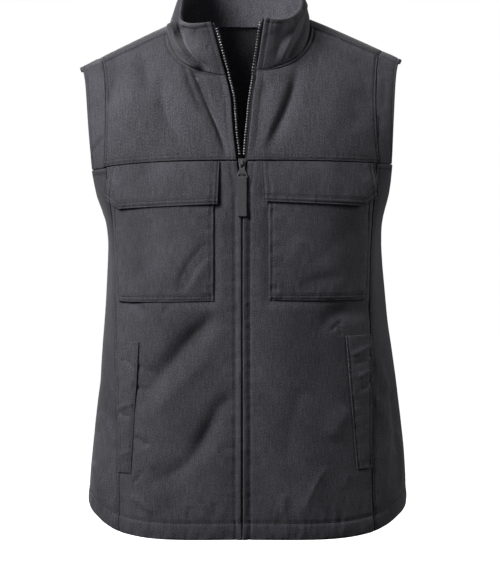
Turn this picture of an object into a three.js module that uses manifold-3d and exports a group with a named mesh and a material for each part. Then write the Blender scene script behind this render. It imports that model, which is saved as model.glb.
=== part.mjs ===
// Insulated work vest in the form it has when worn, zipped up to the chest.
// Millimetres, +Z up, front towards -Y. The origin lies midway between the neck ends of the shoulders.
// Left and right are the wearer's own: left is +X.

import * as THREE from 'three';
import { mergeVertices } from 'three/addons/utils/BufferGeometryUtils.js';
import Module from 'manifold-3d';

const { clamp, lerp, smoothstep, degToRad, radToDeg } = THREE.MathUtils;
const SIDES = [
  { sign: -1, name: 'right' },
  { sign: 1, name: 'left' },
];

// Cloth walls and clearances
const PADDED_WALL = 6; // shell, wadding and inner cloth together
const EDGE_WALL = 3; // the same wall where it is pressed flat beside the zip
const EDGE_FLAT = 20; // width of the flat strip beside the zip
const EDGE_FADE = 50; // distance from the zip at which the wall is at its full thickness
const COLLAR_WALL = 4.5;
const PATCH_WALL = 2.2; // cloth of a pocket, flap or welt
const SEAM = 0.6; // gap along a seam
const BAND_GAP = 0.85; // gap inside the armhole bands
const LAY = 0.7; // gap under a piece that lies on another

// Body sections from the hem to the shoulder ridge: half widths to both sides, depths to front and back.
// A level is the height up to SHOULDER_START, and beyond it the run of cloth towards the ridge.
const SHOULDER_START = -230;
const SHOULDER_RUN = 240;
const RIDGE = SHOULDER_START + SHOULDER_RUN;
const SECTION_POWER = 2.6; // 2 is an ellipse, more is squarer
const SECTIONS = [
  { level: -700, right: 211, left: 225, front: 147, back: 121 },
  { level: -600, right: 205, left: 219, front: 146, back: 117 },
  { level: -500, right: 194, left: 209, front: 143, back: 113 },
  { level: -400, right: 185, left: 195, front: 141, back: 116 },
  { level: -320, right: 181, left: 187, front: 140, back: 122 },
  { level: -270, right: 185, left: 189, front: 138, back: 127 },
  { level: -230, right: 203, left: 204, front: 135, back: 129 },
  { level: -150, right: 235, left: 232, front: 121, back: 126 },
  { level: -70, right: 246, left: 242, front: 107, back: 116 },
  { level: 10, right: 252, left: 248, front: 96, back: 104 },
];

// Shoulder ridge: a straight slope outwards from the neck, the left shoulder carried a little higher
const RIDGE_Y = 4;
const RIDGE_Z = 0;
const SHOULDER_TILT = 0.02;
const SHOULDER_SLOPE = 0.48;
const NECK_ROUND = 45; // softens the ridge line where it would cross the neck
const SHOULDER_SEAM = 50; // run of cloth from the ridge forward to the shoulder seam

// Neck seam: half width at the ridge, drop in front, height behind
const NECK_HALF = { right: 98, left: 90 };
const NECK_DROP = 75;
const NECK_BACK_Z = 4;
const NECK_POWER = 2.6;

// Seam across the chest, and how far its outer ends sag
const YOKE_Z = -188;
const YOKE_SAG = { right: 10, left: 3.5 };
const YOKE_HALF = 198;

// Armhole edge: distance from the middle and width of the band inside it, by level
const ARMHOLE_CORNER = -214;
const ARMPIT = -292;
const ARMPIT_POWER = 2.2;
const ARMHOLE = [
  { level: -216, right: 198, left: 197, band: 16 },
  { level: -150, right: 204, left: 200, band: 25 },
  { level: -70, right: 211, left: 206, band: 27 },
  { level: 10, right: 221, left: 216, band: 26 },
];

// Side-panel seam in front: distance from the middle, by height
const PANEL_SEAM = [
  { z: -680, right: 162, left: 173 },
  { z: -586, right: 162, left: 170 },
  { z: -420, right: 167, left: 169 },
  { z: -365, right: 168, left: 168 },
  { z: -273, right: 171.5, left: 171 },
  { z: -190, right: 179, left: 175 },
];

// Hem height round the body: 0 is the front middle, 1 the side, 2 the back middle
const HEM = [
  { around: 0, z: -676 },
  { around: 0.3, z: -677 },
  { around: 0.5, z: -672.5 },
  { around: 0.62, z: -665.5 },
  { around: 0.75, z: -657 },
  { around: 1, z: -650 },
  { around: 1.5, z: -662 },
  { around: 2, z: -670 },
];

// Front edges beside the zip: distance from the middle, by height
const ZIP_EDGE = [
  { z: -690, right: 1.2, left: 1.2 },
  { z: -225, right: 1.2, left: 1.2 },
  { z: -206, right: 4.4, left: 4.4 },
  { z: -190, right: 6.6, left: 6.2 },
  { z: -160, right: 10.5, left: 8.6 },
  { z: -130, right: 13.2, left: 11.6 },
  { z: -105, right: 15, left: 14 },
  { z: -77, right: 21.5, left: 18.5 },
];

// Top edge of the collar on each side, by the turn round the neck from the front middle in degrees.
// The roll swells the lower half of the collar outwards and draws the upper half in.
const COLLAR_TOP = {
  right: [
    { turn: 8, x: 41, y: -101, z: -8, roll: 0 },
    { turn: 27, x: 61, y: -97, z: -11, roll: 4 },
    { turn: 44, x: 78, y: -76, z: -9, roll: 6 },
    { turn: 62, x: 85, y: -44, z: 3, roll: 4 },
    { turn: 90, x: 77, y: -10, z: 56, roll: 0 },
    { turn: 130, x: 58, y: 36, z: 71, roll: 0 },
    { turn: 180, x: 0, y: 54, z: 76, roll: 0 },
    { turn: 230, x: -58, y: 36, z: 71, roll: 0 },
  ],
  left: [
    { turn: 7.4, x: 30, y: -101, z: -2, roll: 0 },
    { turn: 27, x: 53, y: -95, z: -4, roll: 2 },
    { turn: 44, x: 69, y: -73, z: 3, roll: 3 },
    { turn: 62, x: 80, y: -44, z: 20, roll: 2 },
    { turn: 90, x: 78, y: -10, z: 56, roll: 0 },
    { turn: 130, x: 58, y: 36, z: 71, roll: 0 },
    { turn: 180, x: 0, y: 54, z: 76, roll: 0 },
    { turn: 230, x: -58, y: 36, z: 71, roll: 0 },
  ],
};

// Folds of the front: a line from one point to another, its half width and its height, negative where it dips
const FOLDS = [
  { x0: -60, z0: -82, x1: -22, z1: -180, width: 8, height: -5 },
  { x0: -72, z0: -74, x1: -60, z1: -108, width: 7, height: -2.5 },
  { x0: -108, z0: -112, x1: -97, z1: -150, width: 11, height: -3 },
  { x0: -124, z0: -42, x1: -122, z1: -108, width: 11, height: -2.5 },
  { x0: -166, z0: -56, x1: -171, z1: -108, width: 9, height: -2.5 },
  { x0: 68, z0: -80, x1: 30, z1: -176, width: 9, height: -5 },
  { x0: 50, z0: -96, x1: 26, z1: -160, width: 8, height: 2 },
  { x0: 148, z0: -96, x1: 150, z1: -142, width: 11, height: -2.5 },
  { x0: -42, z0: -398, x1: -126, z1: -479, width: 14, height: -5 },
  { x0: -14, z0: -500, x1: -56, z1: -563, width: 13, height: -4.5 },
  { x0: 164, z0: -382, x1: 108, z1: -386, width: 10, height: -3 },
  { x0: 107, z0: -584, x1: 77, z1: -642, width: 10, height: 2.5 },
  { x0: -181, z0: -475, x1: -171, z1: -548, width: 10, height: -3 },
];

// Chest pockets: distances from the middle, heights at the inner and outer lower corners
const POCKET_SWELL = 3; // how far the middle of a pocket stands out
const POCKET = {
  right: { inner: 36, outerTop: 169, outerFoot: 162, top: -214, foot: -367, footOuter: -371 },
  left: { inner: 37, outerTop: 169, outerFoot: 163, top: -214, foot: -366, footOuter: -368 },
};

// Pocket flaps, sewn into the chest seam; the outer lower corner is cut off
const FLAP = {
  right: { inner: 31, outer: 174.5, foot: -245, footOuter: -250 },
  left: { inner: 32, outer: 172, foot: -240.5, footOuter: -245 },
};
const FLAP_CUT = { wide: 17, high: 11 };
const FLAP_STAND = 7; // height of the lower edge above the body
const FLAP_RISE = 14; // drop below the seam at which the flap has climbed over the pocket

// Hand-pocket welts: the inner edge slants, the outer edge follows the side-panel seam
const WELT_EDGE = 1.2;
const WELT = {
  right: { innerTop: 134, innerFoot: 145, top: -422, foot: -594 },
  left: { innerTop: 134, innerFoot: 149, top: -414, foot: -588 },
};

// Zip
const TAPE_WIDE = 7; // part of the tape behind the cloth
const TAPE_SHOWS = 3; // part of the open tape beyond the cloth edge
const TAPE_WALL = 1;
const TAPE_LAY = 1.1; // gap between the cloth and the tape behind it
const CHAIN_HALF = 3.2;
const TEETH_FRONT = 2; // depth of the teeth below the cloth face
const TEETH_BACK = 4.8;
const CHAIN_SINK = 1.4; // how much deeper the closed chain lies behind the front edges
const NECK_EASE = 4; // how much deeper the tape lies where it turns up into the collar
const TOOTH_PITCH = 3.6;
const TOOTH_HIGH = 1.9;
const TOOTH_ROOT = 3.3; // reach of the row beyond the cloth edge: root, bead and tip
const TOOTH_BEAD = 4.2;
const TOOTH_TIP = 6.4;
const TEETH_FOOT = -180; // height of the lowest open tooth
const SLIDER = { z: -191, lean: 8, topHalf: 5.2, footHalf: 3.6, high: 13, wall: 2.4, depth: 1.6 };
const BAIL = { half: 1.3, reach: 4.5, high: 4.6, holeReach: 2.6, holeHigh: 2.9 };
const TAB = { wall: 1.4, half: 3.4, footHalf: 6.7, top: 0.8, neck: -6.5, flare: -11, foot: -16 };
const TAB_WINDOW = { half: 1.8, top: -0.8, foot: -6.2 };
const TAB_SLOT = { half: 5.5, top: -11.6, foot: -13.9 };
const PULL = { half: 5.1, bow: 2.35, leg: 1.4, top: -12.25, join: -22, foot: -68.5 };
const PULL_HOLE = { half: 1.05, top: -13.55, foot: -16.35, point: -19.5 };
const PULL_LEAN = 10; // degrees that the hanging pull leans away from the cloth

const MATERIALS = {
  canvas: { color: 0x4d4d52, roughness: 0.92 },
  webbing: { color: 0x47474c, roughness: 0.9 },
  tape: { color: 0x1b1c1f, roughness: 0.85 },
  metal: { color: 0x9fa1a5, roughness: 0.35, metalness: 0.9 },
};

const vest = new THREE.Group();
vest.name = 'insulated_vest';

// Smooth value of one column of a table at a key
function along(table, key, column, at) {
  const last = table.length - 1;
  const above = table.findIndex((row) => row[key] > at);
  const i = above < 0 ? last - 1 : Math.max(above - 1, 0);
  const slope = (k) => {
    const before = table[Math.max(k - 1, 0)];
    const after = table[Math.min(k + 1, last)];
    return (after[column] - before[column]) / (after[key] - before[key]);
  };
  const p = table[i];
  const q = table[i + 1];
  const span = q[key] - p[key];
  const t = clamp((at - p[key]) / span, 0, 1);
  const rise = t * t * (3 - 2 * t);
  const bend = span * t * (1 - t) * (slope(i) * (1 - t) - slope(i + 1) * t);
  return lerp(p[column], q[column], rise) + bend;
}

// Places on the body: around is 0 at the front middle, 1 at the side and 2 at the back middle, with the side's sign
const sideOf = (value) => (value < 0 ? SIDES[0] : SIDES[1]);
const folded = (level) => (level > RIDGE ? 2 * RIDGE - level : level);
const outFrom = (x) => Math.hypot(x, NECK_ROUND) - Math.hypot(NECK_HALF.right, NECK_ROUND);
const ridgeZ = (x) => RIDGE_Z + SHOULDER_TILT * x - SHOULDER_SLOPE * outFrom(x);

function turnAt(x, level) {
  const half = along(SECTIONS, 'level', sideOf(x).name, folded(level));
  const part = Math.min(Math.abs(x) / half, 1);
  return Math.asin(part ** (SECTION_POWER / 2)) / (Math.PI / 2);
}

function levelAt(x, z) {
  if (z <= SHOULDER_START) return z;
  const climb = Math.asin(Math.min((z - SHOULDER_START) / (ridgeZ(x) - SHOULDER_START), 1));
  return SHOULDER_START + (SHOULDER_RUN * climb) / (Math.PI / 2);
}

function heightAt(x, level) {
  const climb = (Math.max(level - SHOULDER_START, 0) / SHOULDER_RUN) * (Math.PI / 2);
  return climb > 0 ? lerp(SHOULDER_START, ridgeZ(x), Math.sin(climb)) : level;
}

const onFront = (x, level) => ({ around: sideOf(x).sign * turnAt(x, level), level });
const onBack = (x, level) => ({ around: sideOf(x).sign * (2 - turnAt(x, level)), level });
const frontAt = (x, z) => onFront(x, levelAt(x, z));

// Outer face of the body without folds
function bodyPoint({ around, level }) {
  let side = sideOf(around);
  let turn = Math.abs(around);
  if (turn > 2) {
    turn = 4 - turn;
    side = SIDES.find((other) => other !== side);
  }
  let front = turn <= 1;
  const low = folded(level);
  const angle = (front ? turn : 2 - turn) * (Math.PI / 2);
  if (!front && level > RIDGE) front = true;
  const part = Math.sin(angle) ** (2 / SECTION_POWER);
  const depth = Math.max(Math.cos(angle), 0) ** (2 / SECTION_POWER);
  const x = side.sign * along(SECTIONS, 'level', side.name, low) * part;
  const climb = (Math.max(low - SHOULDER_START, 0) / SHOULDER_RUN) * (Math.PI / 2);
  const z = heightAt(x, low);
  const reach = along(SECTIONS, 'level', front ? 'front' : 'back', low) * depth * (front ? -1 : 1);
  return new THREE.Vector3(x, lerp(RIDGE_Y, reach, Math.cos(climb)), z);
}

function bodyNormal({ around, level }) {
  const step = 0.004;
  const rise = 1.5;
  const across = bodyPoint({ around: around + step, level }).sub(bodyPoint({ around: around - step, level }));
  const up = bodyPoint({ around, level: level + rise }).sub(bodyPoint({ around, level: level - rise }));
  return across.cross(up).normalize();
}

function foldAt(point) {
  if (point.y > 0) return 0;
  const calm = smoothstep(Math.abs(point.x) - zipEdge(sideOf(point.x), point.z), EDGE_FLAT, EDGE_FADE);
  return calm * FOLDS.reduce((sum, { x0, z0, x1, z1, width, height }) => {
    const run = Math.hypot(x1 - x0, z1 - z0);
    const s = ((point.x - x0) * (x1 - x0) + (point.z - z0) * (z1 - z0)) / (run * run);
    const off = ((point.x - x0) * (z1 - z0) - (point.z - z0) * (x1 - x0)) / run;
    const ends = smoothstep(s, -0.2, 0.25) * (1 - smoothstep(s, 0.75, 1.2));
    return sum + height * ends * Math.exp(-((off / width) ** 2));
  }, 0);
}

// Point at a height above the outer face, folds included
function skin(place, out) {
  const point = bodyPoint(place);
  return point.clone().addScaledVector(bodyNormal(place), foldAt(point) + out);
}

// Lines on the body
const zipEdge = (side, z) => along(ZIP_EDGE, 'z', side.name, z);
const panelSeam = (side, z) => along(PANEL_SEAM, 'z', side.name, z);
const hemZ = (turn) => along(HEM, 'around', 'z', turn);
const yokeZ = (side, x) => YOKE_Z - YOKE_SAG[side.name] * (Math.abs(x) / YOKE_HALF) ** 3;
const armholeX = (side, level) => along(ARMHOLE, 'level', side.name, folded(level));
const bandSeam = (side, level) => armholeX(side, level) - along(ARMHOLE, 'level', 'band', folded(level));

function backSeam(side, level) {
  if (level > ARMHOLE_CORNER) return bandSeam(side, level);
  const blend = smoothstep(level, ARMHOLE_CORNER - 120, ARMHOLE_CORNER);
  return lerp(panelSeam(side, level), bandSeam(side, ARMHOLE_CORNER), blend);
}

// Neck seam by the turn from the front middle in degrees; levels past the ridge count forward from the back
function neckSeam(side, turn) {
  const angle = degToRad(turn);
  const toFront = Math.cos(angle);
  const half = NECK_HALF[side.name];
  const sideZ = ridgeZ(side.sign * half);
  if (toFront > 0) {
    const x = side.sign * half * Math.sin(angle) ** (2 / NECK_POWER);
    return { x, level: levelAt(x, sideZ - NECK_DROP * toFront ** (2 / NECK_POWER)), front: true };
  }
  const x = side.sign * half * Math.sin(angle);
  return { x, level: levelAt(x, lerp(sideZ, NECK_BACK_Z, -toFront)), front: false };
}

const neckFrontZ = (side, turn) => heightAt(neckSeam(side, turn).x, neckSeam(side, turn).level);

// Turn at which the shoulder seam meets the neck seam
function seamTurn(side) {
  const climb = (1 - SHOULDER_SEAM / SHOULDER_RUN) * (Math.PI / 2);
  const drop = (ridgeZ(side.sign * NECK_HALF[side.name]) - SHOULDER_START) * (1 - Math.sin(climb));
  return radToDeg(Math.acos((drop / NECK_DROP) ** (NECK_POWER / 2)));
}

// Faces between two sheets of points, each indexed [column][row]; the upper end can be left open
function shell(outer, inner, openTop = false) {
  const columns = outer.length;
  const rows = outer[0].length;
  const points = [...outer.flat(), ...inner.flat()];
  const at = (layer, i, j) => layer * columns * rows + i * rows + j;
  const index = [];
  const quad = (a, b, c, d) => index.push(a, b, c, a, c, d);
  for (let i = 0; i < columns - 1; i++) {
    for (let j = 0; j < rows - 1; j++) {
      quad(at(0, i, j), at(0, i + 1, j), at(0, i + 1, j + 1), at(0, i, j + 1));
      quad(at(1, i, j), at(1, i, j + 1), at(1, i + 1, j + 1), at(1, i + 1, j));
    }
    quad(at(0, i, 0), at(1, i, 0), at(1, i + 1, 0), at(0, i + 1, 0));
    if (openTop) continue;
    quad(at(0, i, rows - 1), at(0, i + 1, rows - 1), at(1, i + 1, rows - 1), at(1, i, rows - 1));
  }
  for (let j = 0; j < rows - 1; j++) {
    quad(at(0, 0, j), at(0, 0, j + 1), at(1, 0, j + 1), at(1, 0, j));
    quad(at(0, columns - 1, j), at(1, columns - 1, j), at(1, columns - 1, j + 1), at(0, columns - 1, j + 1));
  }
  return { points, index };
}

const wall = (outer, inner) => closed(shell(outer, inner));

// Closed body from shells that share the points of their open ends
function weld(shells) {
  const loose = shells.flatMap(({ points, index }) => index.map((n) => points[n]));
  const merged = mergeVertices(new THREE.BufferGeometry().setFromPoints(loose), 1e-3);
  const spots = merged.getAttribute('position');
  const points = Array.from({ length: spots.count }, (_, n) => new THREE.Vector3().fromBufferAttribute(spots, n));
  return closed({ points, index: Array.from(merged.index.array) });
}

// Indexed geometry with its faces turned outwards
function closed({ points, index }) {
  let volume = 0;
  for (let k = 0; k < index.length; k += 3) {
    const [a, b, c] = index.slice(k, k + 3).map((n) => points[n]);
    volume += a.dot(b.clone().cross(c));
  }
  const geometry = new THREE.BufferGeometry().setFromPoints(points);
  geometry.setIndex(volume < 0 ? index.slice().reverse() : index);
  return geometry;
}

function add(name, material, geometry, parent = vest) {
  const mesh = new THREE.Mesh(geometry, new THREE.MeshStandardMaterial(MATERIALS[material]));
  mesh.name = name;
  parent.add(mesh);
  return mesh;
}

// Sheet of points over a grid, place(u, v) giving the place on the body and out(u, v) the height above it
function sheet(columns, rows, place, out) {
  return Array.from({ length: columns + 1 }, (_, i) =>
    Array.from({ length: rows + 1 }, (_, j) => skin(place(i / columns, j / rows), out(i / columns, j / rows))),
  );
}

const wallBeside = (gap, full) => lerp(EDGE_WALL, full, smoothstep(gap, EDGE_FLAT, EDGE_FADE));

function panel(name, columns, rows, place, thickness = () => PADDED_WALL) {
  const outer = sheet(columns, rows, place, () => 0);
  const inner = sheet(columns, rows, place, (u, v) => -thickness(u, v));
  add(name, 'canvas', wall(outer, inner));
}

// Columns lie closer together where the front turns towards the side
const OUTWARD_CLOSER = 1.3;

// Lower fronts
function frontPanel(side) {
  const spot = (u, v) => {
    const part = 1 - (1 - u) ** OUTWARD_CLOSER;
    const across = (z) => side.sign * lerp(zipEdge(side, z), panelSeam(side, z) - SEAM / 2, part);
    const upto = (x) => lerp(hemZ(turnAt(x, HEM[0].z)), yokeZ(side, x) - SEAM / 2, v);
    const z = upto(across(upto(across(lerp(HEM[0].z, YOKE_Z, v)))));
    return { x: across(z), z, gap: Math.abs(across(z)) - zipEdge(side, z) };
  };
  const place = (u, v) => frontAt(spot(u, v).x, spot(u, v).z);
  panel(`front_panel_${side.name}`, 9, 21, place, (u, v) => wallBeside(spot(u, v).gap, PADDED_WALL));
}

// Upper fronts: the inner edge runs up the zip, then round the neck to the shoulder seam
const YOKE_ROWS = { zip: 5, neck: 7 };

function frontYoke(side) {
  const rows = YOKE_ROWS.zip + YOKE_ROWS.neck;
  const corner = YOKE_ROWS.zip / rows;
  const frontTurn = COLLAR_TOP[side.name][0].turn;
  const neckZ = neckFrontZ(side, frontTurn);
  const innerEdge = (v) => {
    if (v > corner) return neckSeam(side, lerp(frontTurn, seamTurn(side), (v - corner) / (1 - corner)));
    const z = lerp(YOKE_Z + SEAM / 2, neckZ, v / corner);
    const x = side.sign * zipEdge(side, z);
    return { x, level: levelAt(x, z) };
  };
  const foot = levelAt(bandSeam(side, ARMHOLE_CORNER), yokeZ(side, bandSeam(side, ARMHOLE_CORNER)) + SEAM / 2);
  const spot = (u, v) => {
    const from = innerEdge(v);
    const level = lerp(from.level, lerp(foot, RIDGE - SHOULDER_SEAM, v), u);
    const x = lerp(from.x, side.sign * (bandSeam(side, level) - SEAM / 2), u);
    return { x, level, gap: Math.abs(x - from.x) };
  };
  const place = (u, v) => {
    const { x, level } = spot(u, v);
    return v > 0 ? onFront(x, level) : frontAt(x, yokeZ(side, x) + SEAM / 2);
  };
  const thickness = (u, v) => (v > corner + 0.1 ? PADDED_WALL : wallBeside(spot(u, v).gap, PADDED_WALL));
  panel(`front_yoke_${side.name}`, 9, rows, place, thickness);
}

// Armhole bands, in front from the yoke seam up, behind from the armhole corner over the ridge
function armholeBands(side) {
  const strip = (name, rows, foot, top, onto) => {
    const place = (u, v) => {
      const near = lerp(foot(armholeX(side, ARMHOLE_CORNER)), top, v);
      const x = lerp(bandSeam(side, near) + BAND_GAP, armholeX(side, near), u);
      return onto(side.sign * x, lerp(foot(x), top, v));
    };
    panel(`armhole_band_${name}_${side.name}`, 2, rows, place);
  };
  strip('front', 9, (x) => levelAt(x, yokeZ(side, x) + SEAM / 2), RIDGE - SHOULDER_SEAM, onFront);
  strip('back', 13, () => ARMHOLE_CORNER + SEAM / 2, RIDGE + SHOULDER_SEAM - SEAM, onBack);
}

// Panels under the arms: the upper edge runs along the yoke seam, then down round the armhole and up behind
const SIDE_COLUMNS = 13;
const SIDE_ROWS = 13;

function sidePanel(side) {
  const cornerX = armholeX(side, ARMHOLE_CORNER);
  const cornerZ = yokeZ(side, cornerX) - SEAM / 2;
  const front = { turn: turnAt(side.sign * cornerX, levelAt(cornerX, cornerZ)), level: levelAt(cornerX, cornerZ) };
  const back = { turn: 2 - turnAt(side.sign * cornerX, ARMHOLE_CORNER), level: ARMHOLE_CORNER - SEAM / 2 };
  const frontSeam = (level) => {
    const z = heightAt(PANEL_SEAM[PANEL_SEAM.length - 1][side.name], level);
    return turnAt(side.sign * (panelSeam(side, z) + SEAM / 2), level);
  };
  const behindSeam = (level) => 2 - turnAt(side.sign * (backSeam(side, level) + SEAM / 2), level);
  const startX = panelSeam(side, YOKE_Z) + SEAM / 2;
  const startLevel = levelAt(startX, yokeZ(side, startX) - SEAM / 2);
  const start = { turn: frontSeam(startLevel), level: startLevel };
  const end = { turn: behindSeam(back.level), level: back.level };
  const upper = (u) => {
    const k = u * SIDE_COLUMNS;
    if (k <= 1) return { turn: lerp(start.turn, front.turn, k), level: lerp(start.level, front.level, k) };
    const rest = SIDE_COLUMNS - 1 - k;
    if (rest <= 0) return { turn: lerp(back.turn, end.turn, -rest), level: back.level };
    const turn = lerp(front.turn, back.turn, (k - 1) / (SIDE_COLUMNS - 2));
    const from = turn < 1 ? front : back;
    const climb = Math.abs((turn - 1) / (from.turn - 1)) ** ARMPIT_POWER;
    return { turn, level: lerp(ARMPIT, from.level, climb) };
  };
  const place = (u, v) => {
    const top = upper(u);
    const part = (top.turn - start.turn) / (end.turn - start.turn);
    const foot = hemZ(lerp(frontSeam(HEM[0].z), behindSeam(HEM[0].z), part));
    const level = lerp(foot, top.level, v);
    return { around: side.sign * lerp(frontSeam(level), behindSeam(level), part), level };
  };
  panel(`side_panel_${side.name}`, SIDE_COLUMNS, SIDE_ROWS, place);
}

// Back: a lower part up to a line that falls from the neck to the armhole, and a strap over each shoulder
const BACK_HALF_COLUMNS = 7;
const BACK_ROWS = 15;
const STRAP_ROWS = 11;
const STRAP_LEVEL = -140; // level at which the line meets the armhole band

function backPanel() {
  const edge = (side, level) => backSeam(side, level) - SEAM / 2;
  const seamLevel = RIDGE + SHOULDER_SEAM - SEAM;
  const neckLevel = neckSeam(SIDES[1], 180).level;
  const lower = (u, v) => {
    const across = 2 * u - 1;
    const side = sideOf(across);
    const part = Math.abs(across);
    const foot = hemZ(2 - turnAt(part * edge(side, HEM[0].z), HEM[0].z));
    const outermost = lerp(hemZ(2 - turnAt(edge(side, HEM[0].z), HEM[0].z)), STRAP_LEVEL, v);
    return onBack(across * edge(side, outermost), lerp(foot, lerp(neckLevel, STRAP_LEVEL, part), v));
  };
  const strap = (side) => (u, v) => {
    const part = side.sign < 0 ? 1 - u : u;
    const neck = neckSeam(side, lerp(180, seamTurn(side), v));
    const from = neck.front ? Math.min(2 * RIDGE - neck.level, seamLevel) : neck.level;
    const to = lerp(STRAP_LEVEL, seamLevel, v);
    return onBack(lerp(neck.x, side.sign * edge(side, to), part), lerp(from, to, part));
  };
  const layer = (columns, rows, place, depth) => sheet(columns, rows, place, () => -depth);
  const shells = SIDES.map((side) => {
    const blocks = [0, PADDED_WALL].map((depth) => layer(BACK_HALF_COLUMNS, STRAP_ROWS, strap(side), depth));
    return shell(...blocks.map((block) => block.map((column) => column.slice().reverse())).reverse(), true);
  });
  const body = [0, PADDED_WALL].map((depth) => layer(2 * BACK_HALF_COLUMNS, BACK_ROWS, lower, depth));
  add('back_panel', 'canvas', weld([shell(...body, true), ...shells]));
}

// Collar
const COLLAR_COLUMNS = 15; // to each side of the back middle
const COLLAR_ROWS = 5;
const COLLAR_LIFT = 0.012; // part of the height left free above the neck seam

function collarPoint(side, turn, rise) {
  const seam = neckSeam(side, turn);
  const foot = skin(seam.front ? onFront(seam.x, seam.level) : onBack(seam.x, seam.level), 0);
  const [x, y, z, roll] = ['x', 'y', 'z', 'roll'].map((c) => along(COLLAR_TOP[side.name], 'turn', c, turn));
  const point = foot.lerp(new THREE.Vector3(side.sign * x, y, z), rise);
  const outwards = new THREE.Vector3(side.sign * Math.sin(degToRad(turn)), -Math.cos(degToRad(turn)), 0);
  return point.addScaledVector(outwards, roll * Math.sin(rise * 2 * Math.PI));
}

function collarNormal(side, turn, rise) {
  const step = 1.5;
  const lift = 0.02;
  const low = Math.max(turn - step, COLLAR_TOP[side.name][0].turn);
  const high = Math.min(turn + step, 180);
  const across = collarPoint(side, high, rise).sub(collarPoint(side, low, rise));
  const up = collarPoint(side, turn, rise + lift).sub(collarPoint(side, turn, rise - lift));
  const normal = across.cross(up).multiplyScalar(side.sign).normalize();
  if (turn > 179.9) normal.setX(0).normalize();
  return normal;
}

function collarSheet(depth) {
  const turns = SIDES.flatMap((side) => {
    const edge = COLLAR_TOP[side.name][0].turn;
    const list = Array.from({ length: COLLAR_COLUMNS + 1 }, (_, k) => lerp(edge, 180, k / COLLAR_COLUMNS));
    const ordered = side.sign < 0 ? list : list.reverse().slice(1);
    return ordered.map((turn) => ({ side, turn, gap: degToRad(turn - edge) * NECK_HALF[side.name] }));
  });
  return turns.map(({ side, turn, gap }) =>
    Array.from({ length: COLLAR_ROWS + 1 }, (_, j) => {
      const rise = lerp(COLLAR_LIFT, 1, j / COLLAR_ROWS);
      const inwards = collarNormal(side, turn, rise).multiplyScalar(-depth * wallBeside(gap, COLLAR_WALL));
      return collarPoint(side, turn, rise).add(inwards);
    }),
  );
}

// Chest pockets and their flaps
function chestPocket(side) {
  const { inner: start, outerTop, outerFoot, top, foot, footOuter } = POCKET[side.name];
  const place = (u, v) => {
    const part = 1 - (1 - u) ** OUTWARD_CLOSER;
    const x = side.sign * lerp(start, lerp(outerFoot, outerTop, v), part);
    return frontAt(x, lerp(lerp(foot, footOuter, part), top, v));
  };
  const swell = (u, v) => POCKET_SWELL * Math.sin(Math.PI * u) * Math.sin(Math.PI * v ** 0.8);
  const inner = sheet(6, 8, place, (u, v) => LAY + swell(u, v));
  const outer = sheet(6, 8, place, (u, v) => LAY + PATCH_WALL + swell(u, v));
  add(`chest_pocket_${side.name}`, 'canvas', wall(outer, inner));
}

function chestFlap(side) {
  const columns = 8;
  const flap = FLAP[side.name];
  const corner = flap.outer - FLAP_CUT.wide;
  const across = (u) => {
    const straight = (columns - 1) / columns;
    if (u > straight) return lerp(corner, flap.outer, (u - straight) * columns);
    return lerp(flap.inner, corner, u / straight);
  };
  const drop = (u, v) => {
    const x = across(u);
    const top = yokeZ(side, x) - SEAM;
    const cut = (FLAP_CUT.high * Math.max(x - corner, 0)) / FLAP_CUT.wide;
    const foot = lerp(flap.foot, flap.footOuter, (x - flap.inner) / (corner - flap.inner)) + cut;
    return { x, top, z: lerp(foot, top, v) };
  };
  const place = (u, v) => frontAt(side.sign * drop(u, v).x, drop(u, v).z);
  const over = LAY + PATCH_WALL + LAY;
  const lift = (u, v) => {
    const { top, z } = drop(u, v);
    const climb = LAY + (over - LAY) * smoothstep(top - z, 0, FLAP_RISE);
    return climb + (FLAP_STAND - over) * smoothstep(top - z, FLAP_RISE, top - flap.foot);
  };
  const inner = sheet(columns, 5, place, lift);
  const outer = sheet(columns, 5, place, (u, v) => lift(u, v) + PATCH_WALL);
  add(`chest_flap_${side.name}`, 'canvas', wall(outer, inner));
}

// Hand-pocket welts
function handWelt(side) {
  const { innerTop, innerFoot, top, foot } = WELT[side.name];
  const place = (u, v) => {
    const z = lerp(foot, top, v);
    const outer = panelSeam(side, z) - WELT_EDGE;
    return frontAt(side.sign * lerp(lerp(innerFoot, innerTop, v), outer, u), z);
  };
  const inner = sheet(3, 8, place, () => LAY);
  const outer = sheet(3, 8, place, () => LAY + PATCH_WALL);
  add(`hand_welt_${side.name}`, 'canvas', wall(outer, inner));
}

// Front edge from the hem to the top of the collar: points on the cloth face with its outward direction
const EDGE_STEPS = { body: 26, collar: 5 };

function frontEdge(side) {
  const frontTurn = COLLAR_TOP[side.name][0].turn;
  const neckZ = neckFrontZ(side, frontTurn);
  const stations = [];
  for (let k = 0; k < EDGE_STEPS.body; k++) {
    const z = lerp(HEM[0].z + 1, neckZ, k / EDGE_STEPS.body);
    const x = zipEdge(side, z);
    const place = frontAt(side.sign * x, z);
    stations.push({ point: skin(place, 0), normal: bodyNormal(place), x });
  }
  for (let k = 0; k <= EDGE_STEPS.collar; k++) {
    const rise = lerp(0.06, 0.97, k / EDGE_STEPS.collar);
    const point = collarPoint(side, frontTurn, rise);
    stations.push({ point, normal: collarNormal(side, frontTurn, rise), x: Math.abs(point.x) });
  }
  return new EdgeLine(side, stations);
}

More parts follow.
